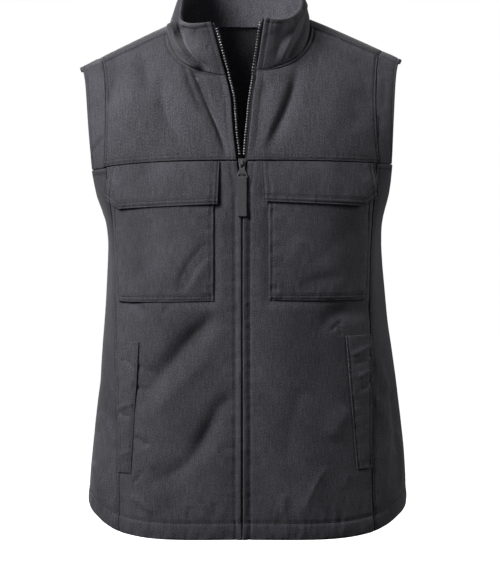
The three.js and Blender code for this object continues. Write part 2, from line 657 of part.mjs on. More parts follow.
// Line of stations that can be read at any length from its lower end
class EdgeLine {
  constructor(side, stations) {
    this.side = side;
    this.stations = stations;
    this.lengths = stations.map(() => 0);
    for (let k = 1; k < stations.length; k++) {
      this.lengths[k] = this.lengths[k - 1] + stations[k].point.distanceTo(stations[k - 1].point);
    }
    this.curve = new THREE.CatmullRomCurve3(stations.map((s) => s.point));
  }

  get length() {
    return this.lengths[this.lengths.length - 1];
  }

  // Point at a length, a reach towards the opening and a depth below the cloth face
  at(length, reach, depth) {
    const last = this.stations.length - 1;
    const above = this.lengths.findIndex((value) => value > length);
    const i = above < 0 ? last - 1 : Math.max(above - 1, 0);
    const t = clamp((length - this.lengths[i]) / (this.lengths[i + 1] - this.lengths[i]), 0, 1);
    const point = this.curve.getPoint((i + t) / last);
    const tangent = this.curve.getTangent((i + t) / last);
    const normal = this.stations[i].normal.clone().lerp(this.stations[i + 1].normal, t).normalize();
    const inwards = normal.clone().cross(tangent).normalize().multiplyScalar(this.side.sign);
    const x = lerp(this.stations[i].x, this.stations[i + 1].x, t);
    const span = typeof reach === 'function' ? reach(x) : reach;
    return point.addScaledVector(inwards, span).addScaledVector(normal, -depth);
  }

  lengthAtZ(z) {
    const i = this.stations.findIndex((s) => s.point.z > z);
    const [p, q] = [this.stations[i - 1].point.z, this.stations[i].point.z];
    return lerp(this.lengths[i - 1], this.lengths[i], (z - p) / (q - p));
  }
}

// Zip tapes behind the front edges
function zipTape(side, edge) {
  const steps = 34;
  const shows = (x) => Math.min(TAPE_SHOWS, x - CHAIN_HALF - SEAM / 2);
  const neck = edge.lengths[EDGE_STEPS.body];
  const layer = (depth) =>
    [-TAPE_WIDE, shows].map((reach) =>
      Array.from({ length: steps + 1 }, (_, k) => {
        const length = (edge.length * k) / steps;
        return edge.at(length, reach, depth + NECK_EASE * Math.exp(-(((length - neck) / 16) ** 2)));
      }),
    );
  add(`zip_tape_${side.name}`, 'tape', wall(layer(EDGE_WALL + TAPE_LAY), layer(EDGE_WALL + TAPE_LAY + TAPE_WALL)));
}

// Open row of teeth: a comb with a bead along the tape
function zipTeeth(side, edge) {
  const foot = edge.lengthAtZ(TEETH_FOOT);
  const count = Math.floor((edge.length - foot - 4) / TOOTH_PITCH);
  const points = [];
  const index = [];
  const reaches = [TOOTH_ROOT, TOOTH_BEAD, TOOTH_TIP];
  const quad = (a, b, c, d) => index.push(a, b, c, a, c, d);
  const spot = (row, column, layer) => row * 6 + column * 2 + layer;
  for (let k = 0; k < count; k++) {
    [0, TOOTH_HIGH].forEach((offset) => {
      reaches.forEach((reach) => {
        const length = foot + k * TOOTH_PITCH + offset;
        points.push(edge.at(length, reach, TEETH_FRONT), edge.at(length, reach, TEETH_BACK));
      });
    });
  }
  const rows = 2 * count;
  for (let r = 0; r < rows - 1; r++) {
    const widest = r % 2 === 0 ? 2 : 1; // a tooth, or the bare bead between two
    for (let c = 0; c < widest; c++) {
      quad(spot(r, c, 0), spot(r, c + 1, 0), spot(r + 1, c + 1, 0), spot(r + 1, c, 0));
      quad(spot(r, c, 1), spot(r + 1, c, 1), spot(r + 1, c + 1, 1), spot(r, c + 1, 1));
    }
    quad(spot(r, 0, 0), spot(r + 1, 0, 0), spot(r + 1, 0, 1), spot(r, 0, 1));
    quad(spot(r, widest, 0), spot(r, widest, 1), spot(r + 1, widest, 1), spot(r + 1, widest, 0));
    if (widest === 2) {
      quad(spot(r, 1, 0), spot(r, 1, 1), spot(r, 2, 1), spot(r, 2, 0));
      quad(spot(r + 1, 1, 0), spot(r + 1, 2, 0), spot(r + 1, 2, 1), spot(r + 1, 1, 1));
    }
  }
  const end = rows - 1;
  quad(spot(0, 0, 0), spot(0, 0, 1), spot(0, 1, 1), spot(0, 1, 0));
  quad(spot(end, 0, 0), spot(end, 1, 0), spot(end, 1, 1), spot(end, 0, 1));
  add(`zip_teeth_${side.name}`, 'metal', closed({ points, index }));
}

// Closed chain from the hem to the slider
function zipChain() {
  const steps = 24;
  const top = SLIDER.z + SLIDER.high / 2;
  const layer = (depth) =>
    [-CHAIN_HALF, CHAIN_HALF].map((x) =>
      Array.from({ length: steps + 1 }, (_, k) => {
        const z = lerp(HEM[0].z + 4, top, k / steps);
        const sunk = CHAIN_SINK * (1 - smoothstep(z, SLIDER.z - 16, SLIDER.z - 7));
        return skin(frontAt(x, z), -depth - sunk);
      }),
    );
  add('zip_chain_closed', 'metal', wall(layer(TEETH_FRONT), layer(TEETH_BACK)));
}

// Joined solids
const wasm = await Module();
wasm.setup();

function join(geometries) {
  const solids = geometries.map((geometry) => {
    const bare = new THREE.BufferGeometry().setAttribute('position', geometry.getAttribute('position'));
    const merged = mergeVertices(bare, 1e-4);
    return new wasm.Manifold(
      new wasm.Mesh({
        numProp: 3,
        vertProperties: merged.attributes.position.array,
        triVerts: new Uint32Array(merged.index.array),
      }),
    );
  });
  const mesh = solids.reduce((sum, solid) => sum.add(solid)).getMesh();
  const geometry = new THREE.BufferGeometry();
  geometry.setAttribute('position', new THREE.BufferAttribute(mesh.vertProperties, 3));
  return geometry.setIndex(new THREE.BufferAttribute(mesh.triVerts, 1));
}

function outline(points) {
  return new THREE.Shape(points.map(([a, b]) => new THREE.Vector2(a, b)));
}

// Outline in x and z given a thickness in y, its middle at y = 0
function plate(shape, thickness) {
  const geometry = new THREE.ExtrudeGeometry(shape, { depth: thickness, bevelEnabled: false, curveSegments: 6 });
  geometry.translate(0, 0, -thickness / 2);
  return geometry.rotateX(Math.PI / 2);
}

// Outline in y and z given a width in x, its middle at x = 0
function profile(shape, width) {
  const geometry = new THREE.ExtrudeGeometry(shape, { depth: width, bevelEnabled: false, curveSegments: 6 });
  geometry.translate(0, 0, -width / 2);
  const axes = new THREE.Matrix4().makeBasis(
    new THREE.Vector3(0, 1, 0),
    new THREE.Vector3(0, 0, 1),
    new THREE.Vector3(1, 0, 0),
  );
  return geometry.applyMatrix4(axes);
}

function rounded(halfTop, halfFoot, top, foot, corner) {
  return outline([
    [-halfFoot + corner, foot],
    [halfFoot - corner, foot],
    [halfFoot, foot + corner],
    [halfTop, top - corner],
    [halfTop - corner, top],
    [-halfTop + corner, top],
    [-halfTop, top - corner],
    [-halfFoot, foot + corner],
  ]);
}

// Slider with its bail, and the hinged pull hanging from it
function zipSlider() {
  const group = new THREE.Group();
  const seat = frontAt(0, SLIDER.z);
  group.position.copy(skin(seat, -SLIDER.depth));
  group.rotation.x = degToRad(-SLIDER.lean);
  const body = plate(rounded(SLIDER.topHalf, SLIDER.footHalf, SLIDER.high / 2, -SLIDER.high / 2, 1.4), SLIDER.wall);
  body.translate(0, -SLIDER.wall / 2, 0);
  const base = -SLIDER.wall + 0.3;
  const face = -SLIDER.wall;
  const arch = outline([
    [base, BAIL.reach],
    [face - BAIL.high * 0.6, BAIL.reach * 0.9],
    [face - BAIL.high, BAIL.reach * 0.45],
    [face - BAIL.high, -BAIL.reach * 0.45],
    [face - BAIL.high * 0.6, -BAIL.reach * 0.9],
    [base, -BAIL.reach],
    [base, -BAIL.holeReach],
    [face - BAIL.holeHigh, -BAIL.holeReach],
    [face - BAIL.holeHigh, BAIL.holeReach],
    [base, BAIL.holeReach],
  ]);
  add('zip_slider', 'metal', join([body, profile(arch, 2 * BAIL.half)]), group);

  const pull = new THREE.Group();
  pull.position.set(0, face - BAIL.holeHigh / 2, 0);
  pull.rotation.x = degToRad(SLIDER.lean - PULL_LEAN);
  const tab = outline([
    [-TAB.half, TAB.top],
    [-TAB.half, TAB.neck],
    [-TAB.footHalf, TAB.flare],
    [-TAB.footHalf, TAB.foot + 1.5],
    [-TAB.footHalf + 1.5, TAB.foot],
    [TAB.footHalf - 1.5, TAB.foot],
    [TAB.footHalf, TAB.foot + 1.5],
    [TAB.footHalf, TAB.flare],
    [TAB.half, TAB.neck],
    [TAB.half, TAB.top],
  ]);
  const hole = ({ half, top, foot }) => [
    [-half, foot],
    [half, foot],
    [half, top],
    [-half, top],
  ];
  tab.holes.push(outline(hole(TAB_WINDOW)), outline(hole(TAB_SLOT)));
  add('zip_pull_tab', 'metal', plate(tab, TAB.wall), pull);

  const loop = outline([
    [-PULL.leg, PULL.foot],
    [PULL.leg, PULL.foot],
    [PULL.leg, PULL.join],
    [PULL.bow, TAB.foot],
    [PULL.bow, PULL.top - 1.4],
    [PULL.bow - 1.2, PULL.top],
    [-PULL.bow + 1.2, PULL.top],
    [-PULL.bow, PULL.top - 1.4],
    [-PULL.bow, TAB.foot],
    [-PULL.leg, PULL.join],
  ]);
  loop.holes.push(
    outline([
      [-PULL_HOLE.half, PULL_HOLE.top],
      [PULL_HOLE.half, PULL_HOLE.top],
      [PULL_HOLE.half, PULL_HOLE.foot],
      [0, PULL_HOLE.point],
      [-PULL_HOLE.half, PULL_HOLE.foot],
    ]),
  );
  add('zip_pull_tape', 'webbing', profile(loop, 2 * PULL.half), pull);
  group.add(pull);
  vest.add(group);
}

// Assembly
for (const side of SIDES) {
  frontPanel(side);
  frontYoke(side);
  armholeBands(side);
  sidePanel(side);
  chestPocket(side);
  chestFlap(side);
  handWelt(side);
  const edge = frontEdge(side);
  zipTape(side, edge);
  zipTeeth(side, edge);
}
backPanel();
add('collar', 'canvas', wall(collarSheet(0), collarSheet(1)));
zipChain();
zipSlider();

export default vest;
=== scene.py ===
import math
from collections import namedtuple

import bmesh
import bpy
import numpy as np
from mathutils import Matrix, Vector


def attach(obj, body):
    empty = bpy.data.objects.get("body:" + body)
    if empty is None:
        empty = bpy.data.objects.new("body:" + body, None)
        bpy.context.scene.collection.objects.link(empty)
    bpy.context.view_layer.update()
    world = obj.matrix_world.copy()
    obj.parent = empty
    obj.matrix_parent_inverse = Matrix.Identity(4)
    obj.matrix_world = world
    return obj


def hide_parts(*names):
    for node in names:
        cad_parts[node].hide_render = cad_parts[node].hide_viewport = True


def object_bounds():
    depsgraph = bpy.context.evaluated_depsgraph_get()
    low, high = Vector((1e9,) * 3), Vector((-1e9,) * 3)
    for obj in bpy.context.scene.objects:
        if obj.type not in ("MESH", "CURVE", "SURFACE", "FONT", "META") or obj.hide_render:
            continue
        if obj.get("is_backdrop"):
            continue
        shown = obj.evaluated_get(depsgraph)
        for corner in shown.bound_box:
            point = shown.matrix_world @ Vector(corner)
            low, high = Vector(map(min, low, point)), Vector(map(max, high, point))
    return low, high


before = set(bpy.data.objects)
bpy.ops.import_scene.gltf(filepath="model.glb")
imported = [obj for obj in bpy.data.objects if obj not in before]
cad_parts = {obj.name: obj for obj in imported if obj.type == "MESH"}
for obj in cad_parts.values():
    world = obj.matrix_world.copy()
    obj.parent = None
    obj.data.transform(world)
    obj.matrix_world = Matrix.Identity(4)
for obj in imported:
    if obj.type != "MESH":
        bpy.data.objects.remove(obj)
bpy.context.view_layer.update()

SCENE = bpy.context.scene
MM = 0.001
QUARTER = math.pi / 2
Side = namedtuple("Side", "sign name")
RIGHT, LEFT = Side(-1.0, "right"), Side(1.0, "left")
SIDES = (RIGHT, LEFT)


# Tables of the body in millimetres
def table(columns, *rows):
    return dict(zip(columns.split(), np.array(rows, float).T))


SECTIONS = table(
    "level right left front back",
    (-700, 211, 225, 147, 121),
    (-600, 205, 219, 146, 117),
    (-500, 194, 209, 143, 113),
    (-400, 185, 195, 141, 116),
    (-320, 181, 187, 140, 122),
    (-270, 185, 189, 138, 127),
    (-230, 203, 204, 135, 129),
    (-150, 235, 232, 121, 126),
    (-70, 246, 242, 107, 116),
    (10, 252, 248, 96, 104),
)
ARMHOLE = table(
    "level right left band",
    (-216, 198, 197, 16),
    (-150, 204, 200, 25),
    (-70, 211, 206, 27),
    (10, 221, 216, 26),
)
PANEL_SEAM = table(
    "z right left",
    (-680, 162, 173),
    (-586, 162, 170),
    (-420, 167, 169),
    (-365, 168, 168),
    (-273, 171.5, 171),
    (-190, 179, 175),
)
HEM = table(
    "around z",
    (0, -676),
    (0.3, -677),
    (0.5, -672.5),
    (0.62, -665.5),
    (0.75, -657),
    (1, -650),
    (1.5, -662),
    (2, -670),
)
ZIP_EDGE = table(
    "z right left",
    (-690, 0.3, 0.3),
    (-662, 0.6, 0.6),
    (-645, 1.2, 1.2),
    (-225, 1.2, 1.2),
    (-206, 4.4, 4.4),
    (-190, 6.6, 6.2),
    (-160, 10.5, 8.6),
    (-130, 13.2, 11.6),
    (-105, 15, 14),
    (-77, 21.5, 18.5),
)
COLLAR_TOP = {
    "right": table(
        "turn x y z roll",
        (8, 41, -101, -8, 0),
        (27, 61, -97, -11, 4),
        (44, 78, -76, -9, 6),
        (62, 85, -44, 3, 4),
        (90, 77, -10, 56, 0),
        (130, 58, 36, 71, 0),
        (180, 0, 54, 76, 0),
        (230, -58, 36, 71, 0),
    ),
    "left": table(
        "turn x y z roll",
        (7.4, 30, -101, -2, 0),
        (27, 53, -95, -4, 2),
        (44, 69, -73, 3, 3),
        (62, 80, -44, 20, 2),
        (90, 78, -10, 56, 0),
        (130, 58, 36, 71, 0),
        (180, 0, 54, 76, 0),
        (230, -58, 36, 71, 0),
    ),
}
FOLDS = table(
    "x0 z0 x1 z1 width height",
    (-60, -82, -22, -180, 8, -5),
    (-72, -74, -60, -108, 7, -2.5),
    (-108, -112, -97, -150, 11, -3),
    (-124, -42, -122, -108, 11, -2.5),
    (-166, -56, -171, -108, 9, -2.5),
    (68, -80, 30, -176, 9, -5),
    (50, -96, 26, -160, 8, 2),
    (148, -96, 150, -142, 11, -2.5),
    (-42, -398, -126, -479, 14, -5),
    (-14, -500, -56, -563, 13, -4.5),
    (164, -382, 108, -386, 10, -3),
    (107, -584, 77, -642, 10, 1.2),
    (-181, -475, -171, -548, 10, -3),
)
POCKET = {
    "right": dict(inner=36, outer_top=169, outer_foot=162, top=-214, foot=-367, foot_outer=-371),
    "left": dict(inner=34, outer_top=167.5, outer_foot=162.5, top=-214, foot=-366, foot_outer=-368),
}
FLAP = {
    "right": dict(inner=29, inner_foot=31.5, outer=173.5, foot=-243, foot_outer=-248),
    "left": dict(inner=24, inner_foot=27.5, outer=171.5, foot=-239.5, foot_outer=-244.5),
}
WELT = {
    "right": dict(inner_top=134, inner_foot=145, top=-422, foot=-594),
    "left": dict(inner_top=134, inner_foot=149, top=-414, foot=-588),
}
NECK_HALF = {"right": 98.0, "left": 90.0}
YOKE_SAG = {"right": 10.0, "left": 3.5}
SHOULDER_START, SHOULDER_RUN = -230.0, 240.0
RIDGE = SHOULDER_START + SHOULDER_RUN
SECTION_POWER, NECK_POWER = 2.6, 2.6
RIDGE_Y, RIDGE_Z = 4.0, 0.0
SHOULDER_TILT, SHOULDER_SLOPE, SHOULDER_SEAM = 0.02, 0.48, 50.0
NECK_ROUND, NECK_DROP, NECK_BACK_Z = 45.0, 75.0, 4.0
YOKE_Z, YOKE_HALF = -188.0, 198.0
ARMHOLE_CORNER, ARMPIT, ARMPIT_POWER = -214.0, -292.0, 2.2
STRAP_LEVEL = -140.0
PADDED_WALL, EDGE_WALL, EDGE_FLAT, EDGE_FADE = 6.0, 3.0, 20.0, 50.0
COLLAR_WALL, PATCH_WALL, LAY = 4.5, 2.2, 0.7
FLAP_CUT, FLAP_STAND, FLAP_OUT = (17.0, 13.0), 4.8, dict(right=2.6, left=4.0)
POCKET_SWELL = dict(right=3.0, left=1.6)
SEAM_HALF = 0.15  # half of the gap that shows between two pieces sewn together
SHOULDER_GAP, YOKE_GAP = 2.2, 1.0  # wider, where the seam shows as a dark line
BACK_SEAM_BLEND = 120.0  # height over which the side seam runs into the armhole seam behind
FOLD_START, FOLD_END = (-0.2, 0.25), (0.75, 1.2)  # parts of a fold's run over which it rises and fades


# Smooth functions
def lerp(a, b, t):
    return a + (b - a) * t


def ease(t):
    return t * t * (3 - 2 * t)


def smoothstep(x, low, high):
    return ease(np.clip((x - low) / (high - low), 0, 1))


def between(k, c, at):
    """Smooth values between the values c that are known at k."""
    at = np.asarray(at, float)
    i = np.clip(np.searchsorted(k, at, side="right") - 1, 0, len(k) - 2)
    n = np.arange(len(k))
    low, high = np.maximum(n - 1, 0), np.minimum(n + 1, len(k) - 1)
    slope = (c[high] - c[low]) / (k[high] - k[low])
    span = k[i + 1] - k[i]
    t = np.clip((at - k[i]) / span, 0, 1)
    bend = span * t * (1 - t) * (slope[i] * (1 - t) - slope[i + 1] * t)
    return lerp(c[i], c[i + 1], ease(t)) + bend


def along(tab, key, column, at):
    """Smooth value of one column of a table at a key."""
    return between(tab[key], tab[column], at)


def lengths(p, axis=0):
    """Running length along one axis of a grid of points."""
    d = np.linalg.norm(np.diff(p, axis=axis), axis=-1)
    zero = np.zeros_like(np.take(d, [0], axis=axis))
    return np.concatenate([zero, np.cumsum(d, axis=axis)], axis=axis)


def at_lengths(a, run, at):
    """Rows of three values at running lengths."""
    return np.stack([np.interp(at, run, a[:, k]) for k in range(3)], 1)


def noise(x, y, seed):
    """Smooth noise between -1 and 1 over a plane, one cell per unit."""
    size = 64
    lattice = np.random.default_rng(seed).uniform(-1, 1, (size, size))
    x, y = np.broadcast_arrays(np.asarray(x, float), np.asarray(y, float))
    i, j = np.floor(x).astype(int), np.floor(y).astype(int)
    fx, fy = ease(x - i), ease(y - j)
    at = lambda a, b: lattice[(i + a) % size, (j + b) % size]
    return lerp(lerp(at(0, 0), at(1, 0), fx), lerp(at(0, 1), at(1, 1), fx), fy)


# Places on the body: around is 0 in front, 1 at the side and 2 behind, with the side's sign
def sided(tab, key, at, sign):
    return np.where(np.asarray(sign) < 0, along(tab, key, "right", at), along(tab, key, "left", at))


def folded(level):
    return np.where(np.asarray(level) > RIDGE, 2 * RIDGE - level, level)


def ridge_z(x):
    out = np.hypot(x, NECK_ROUND) - np.hypot(NECK_HALF["right"], NECK_ROUND)
    return RIDGE_Z + SHOULDER_TILT * x - SHOULDER_SLOPE * out


def sign_of(x):
    return np.where(np.asarray(x) < 0, -1.0, 1.0)


def turn_at(x, level):
    half = sided(SECTIONS, "level", folded(level), x)
    part = np.minimum(np.abs(x) / half, 1)
    return np.arcsin(part ** (SECTION_POWER / 2)) / QUARTER


def level_at(x, z):
    z = np.asarray(z, float)
    part = np.clip((z - SHOULDER_START) / (ridge_z(x) - SHOULDER_START), 0, 1)
    return np.where(z <= SHOULDER_START, z, SHOULDER_START + SHOULDER_RUN * np.arcsin(part) / QUARTER)


def climb_of(level):
    return np.maximum(level - SHOULDER_START, 0) / SHOULDER_RUN * QUARTER


def height_at(x, level):
    climb = climb_of(level)
    return np.where(climb > 0, lerp(SHOULDER_START, ridge_z(x), np.sin(climb)), level)


def on_front(x, level):
    return sign_of(x) * turn_at(x, level), np.asarray(level, float)


def on_back(x, level):
    return sign_of(x) * (2 - turn_at(x, level)), np.asarray(level, float)


def front_at(x, z):
    return on_front(x, level_at(x, z))


def body(around, level):
    """Outer face of the body without folds."""
    around, level = np.broadcast_arrays(np.asarray(around, float), np.asarray(level, float))
    sign, turn = sign_of(around), np.abs(around)
    past = turn > 2
    turn, sign = np.where(past, 4 - turn, turn), np.where(past, -sign, sign)
    front = turn <= 1
    low = folded(level)
    angle = np.where(front, turn, 2 - turn) * QUARTER
    front = front | (level > RIDGE)
    part = np.sin(angle) ** (2 / SECTION_POWER)
    depth = np.maximum(np.cos(angle), 0) ** (2 / SECTION_POWER)
    x = sign * sided(SECTIONS, "level", low, sign) * part
    ahead, behind = (along(SECTIONS, "level", key, low) for key in ("front", "back"))
    reach = np.where(front, -ahead, behind) * depth
    return np.stack([x, lerp(RIDGE_Y, reach, np.cos(climb_of(low))), height_at(x, low)], -1)


def unit(v):
    return v / np.maximum(np.linalg.norm(v, axis=-1, keepdims=True), 1e-9)


def body_normal(around, level):
    step, rise = 0.004, 1.5
    across = body(around + step, level) - body(around - step, level)
    up = body(around, level + rise) - body(around, level - rise)
    return unit(np.cross(across, up))


# Lines on the body
def zip_edge(side, z):
    return along(ZIP_EDGE, "z", side.name, z)


def panel_seam(side, z):
    return along(PANEL_SEAM, "z", side.name, z)


def hem_z(turn):
    return along(HEM, "around", "z", turn)


def yoke_z(side, x):
    return YOKE_Z - YOKE_SAG[side.name] * (np.abs(x) / YOKE_HALF) ** 3


def armhole_x(side, level):
    return along(ARMHOLE, "level", side.name, folded(level))


def band_seam(side, level):
    return armhole_x(side, level) - along(ARMHOLE, "level", "band", folded(level))


def back_seam(side, level):
    blend = smoothstep(level, ARMHOLE_CORNER - BACK_SEAM_BLEND, ARMHOLE_CORNER)
    low = lerp(panel_seam(side, level), band_seam(side, ARMHOLE_CORNER), blend)
    return np.where(np.asarray(level) > ARMHOLE_CORNER, band_seam(side, level), low)


def neck_seam(side, turn):
    """Distance from the middle, level and whether it is in front, by the turn round the neck in degrees."""
    angle = np.radians(np.asarray(turn, float))
    forward = np.cos(angle)
    half = NECK_HALF[side.name]
    side_z = ridge_z(side.sign * half)
    power = 2 / NECK_POWER
    front_x = side.sign * half * np.abs(np.sin(angle)) ** power
    back_x = side.sign * half * np.sin(angle)
    front_level = level_at(front_x, side_z - NECK_DROP * np.maximum(forward, 0) ** power)
    back_level = level_at(back_x, lerp(side_z, NECK_BACK_Z, np.maximum(-forward, 0)))
    front = forward > 0
    return np.where(front, front_x, back_x), np.where(front, front_level, back_level), front


def seam_turn(side):
    climb = (1 - SHOULDER_SEAM / SHOULDER_RUN) * QUARTER
    drop = (ridge_z(side.sign * NECK_HALF[side.name]) - SHOULDER_START) * (1 - np.sin(climb))
    return float(np.degrees(np.arccos((drop / NECK_DROP) ** (NECK_POWER / 2))))


def front_turn(side):
    return COLLAR_TOP[side.name]["turn"][0]


def line_height(x, z, folds):
    """Height of a table of folds at points of the front."""
    total = np.zeros(np.broadcast(x, z).shape)
    for x0, z0, x1, z1, width, height in zip(*folds.values()):
        run = math.hypot(x1 - x0, z1 - z0)
        s = ((x - x0) * (x1 - x0) + (z - z0) * (z1 - z0)) / (run * run)
        off = ((x - x0) * (z1 - z0) - (z - z0) * (x1 - x0)) / run
        ends = smoothstep(s, *FOLD_START) * (1 - smoothstep(s, *FOLD_END))
        total += height * ends * np.exp(-((off / width) ** 2))
    return total


def from_zip(p):
    """Distance of points from the front edge on their side."""
    x, z = p[..., 0], p[..., 2]
    return np.abs(x) - sided(ZIP_EDGE, "z", z, x)


def fold_at(p):
    x, z = p[..., 0], p[..., 2]
    calm = smoothstep(from_zip(p), EDGE_FLAT, EDGE_FADE)
    return np.where(p[..., 1] > 0, 0, calm * line_height(x, z, FOLDS))


# Camera at the photograph's place, in millimetres and pixels
VIEW_AT = np.array([10.0, -2400.0, -212.0])
VIEW_FOCAL, VIEW_LONG_SIDE, VIEW_HORIZON = 1764.7, 586.0, 180.0
VIEW_MIDDLE = (250.0, 293.0)
VIEW_TILT = math.atan((VIEW_MIDDLE[1] - VIEW_HORIZON) / VIEW_FOCAL)


def seen(p):
    """Where points fall in the photograph, in its pixels."""
    rel = p - VIEW_AT
    depth = rel[..., 1] * math.cos(VIEW_TILT) - rel[..., 2] * math.sin(VIEW_TILT)
    up = rel[..., 1] * math.sin(VIEW_TILT) + rel[..., 2] * math.cos(VIEW_TILT)
    return VIEW_MIDDLE[0] + VIEW_FOCAL * rel[..., 0] / depth, VIEW_MIDDLE[1] - VIEW_FOCAL * up / depth


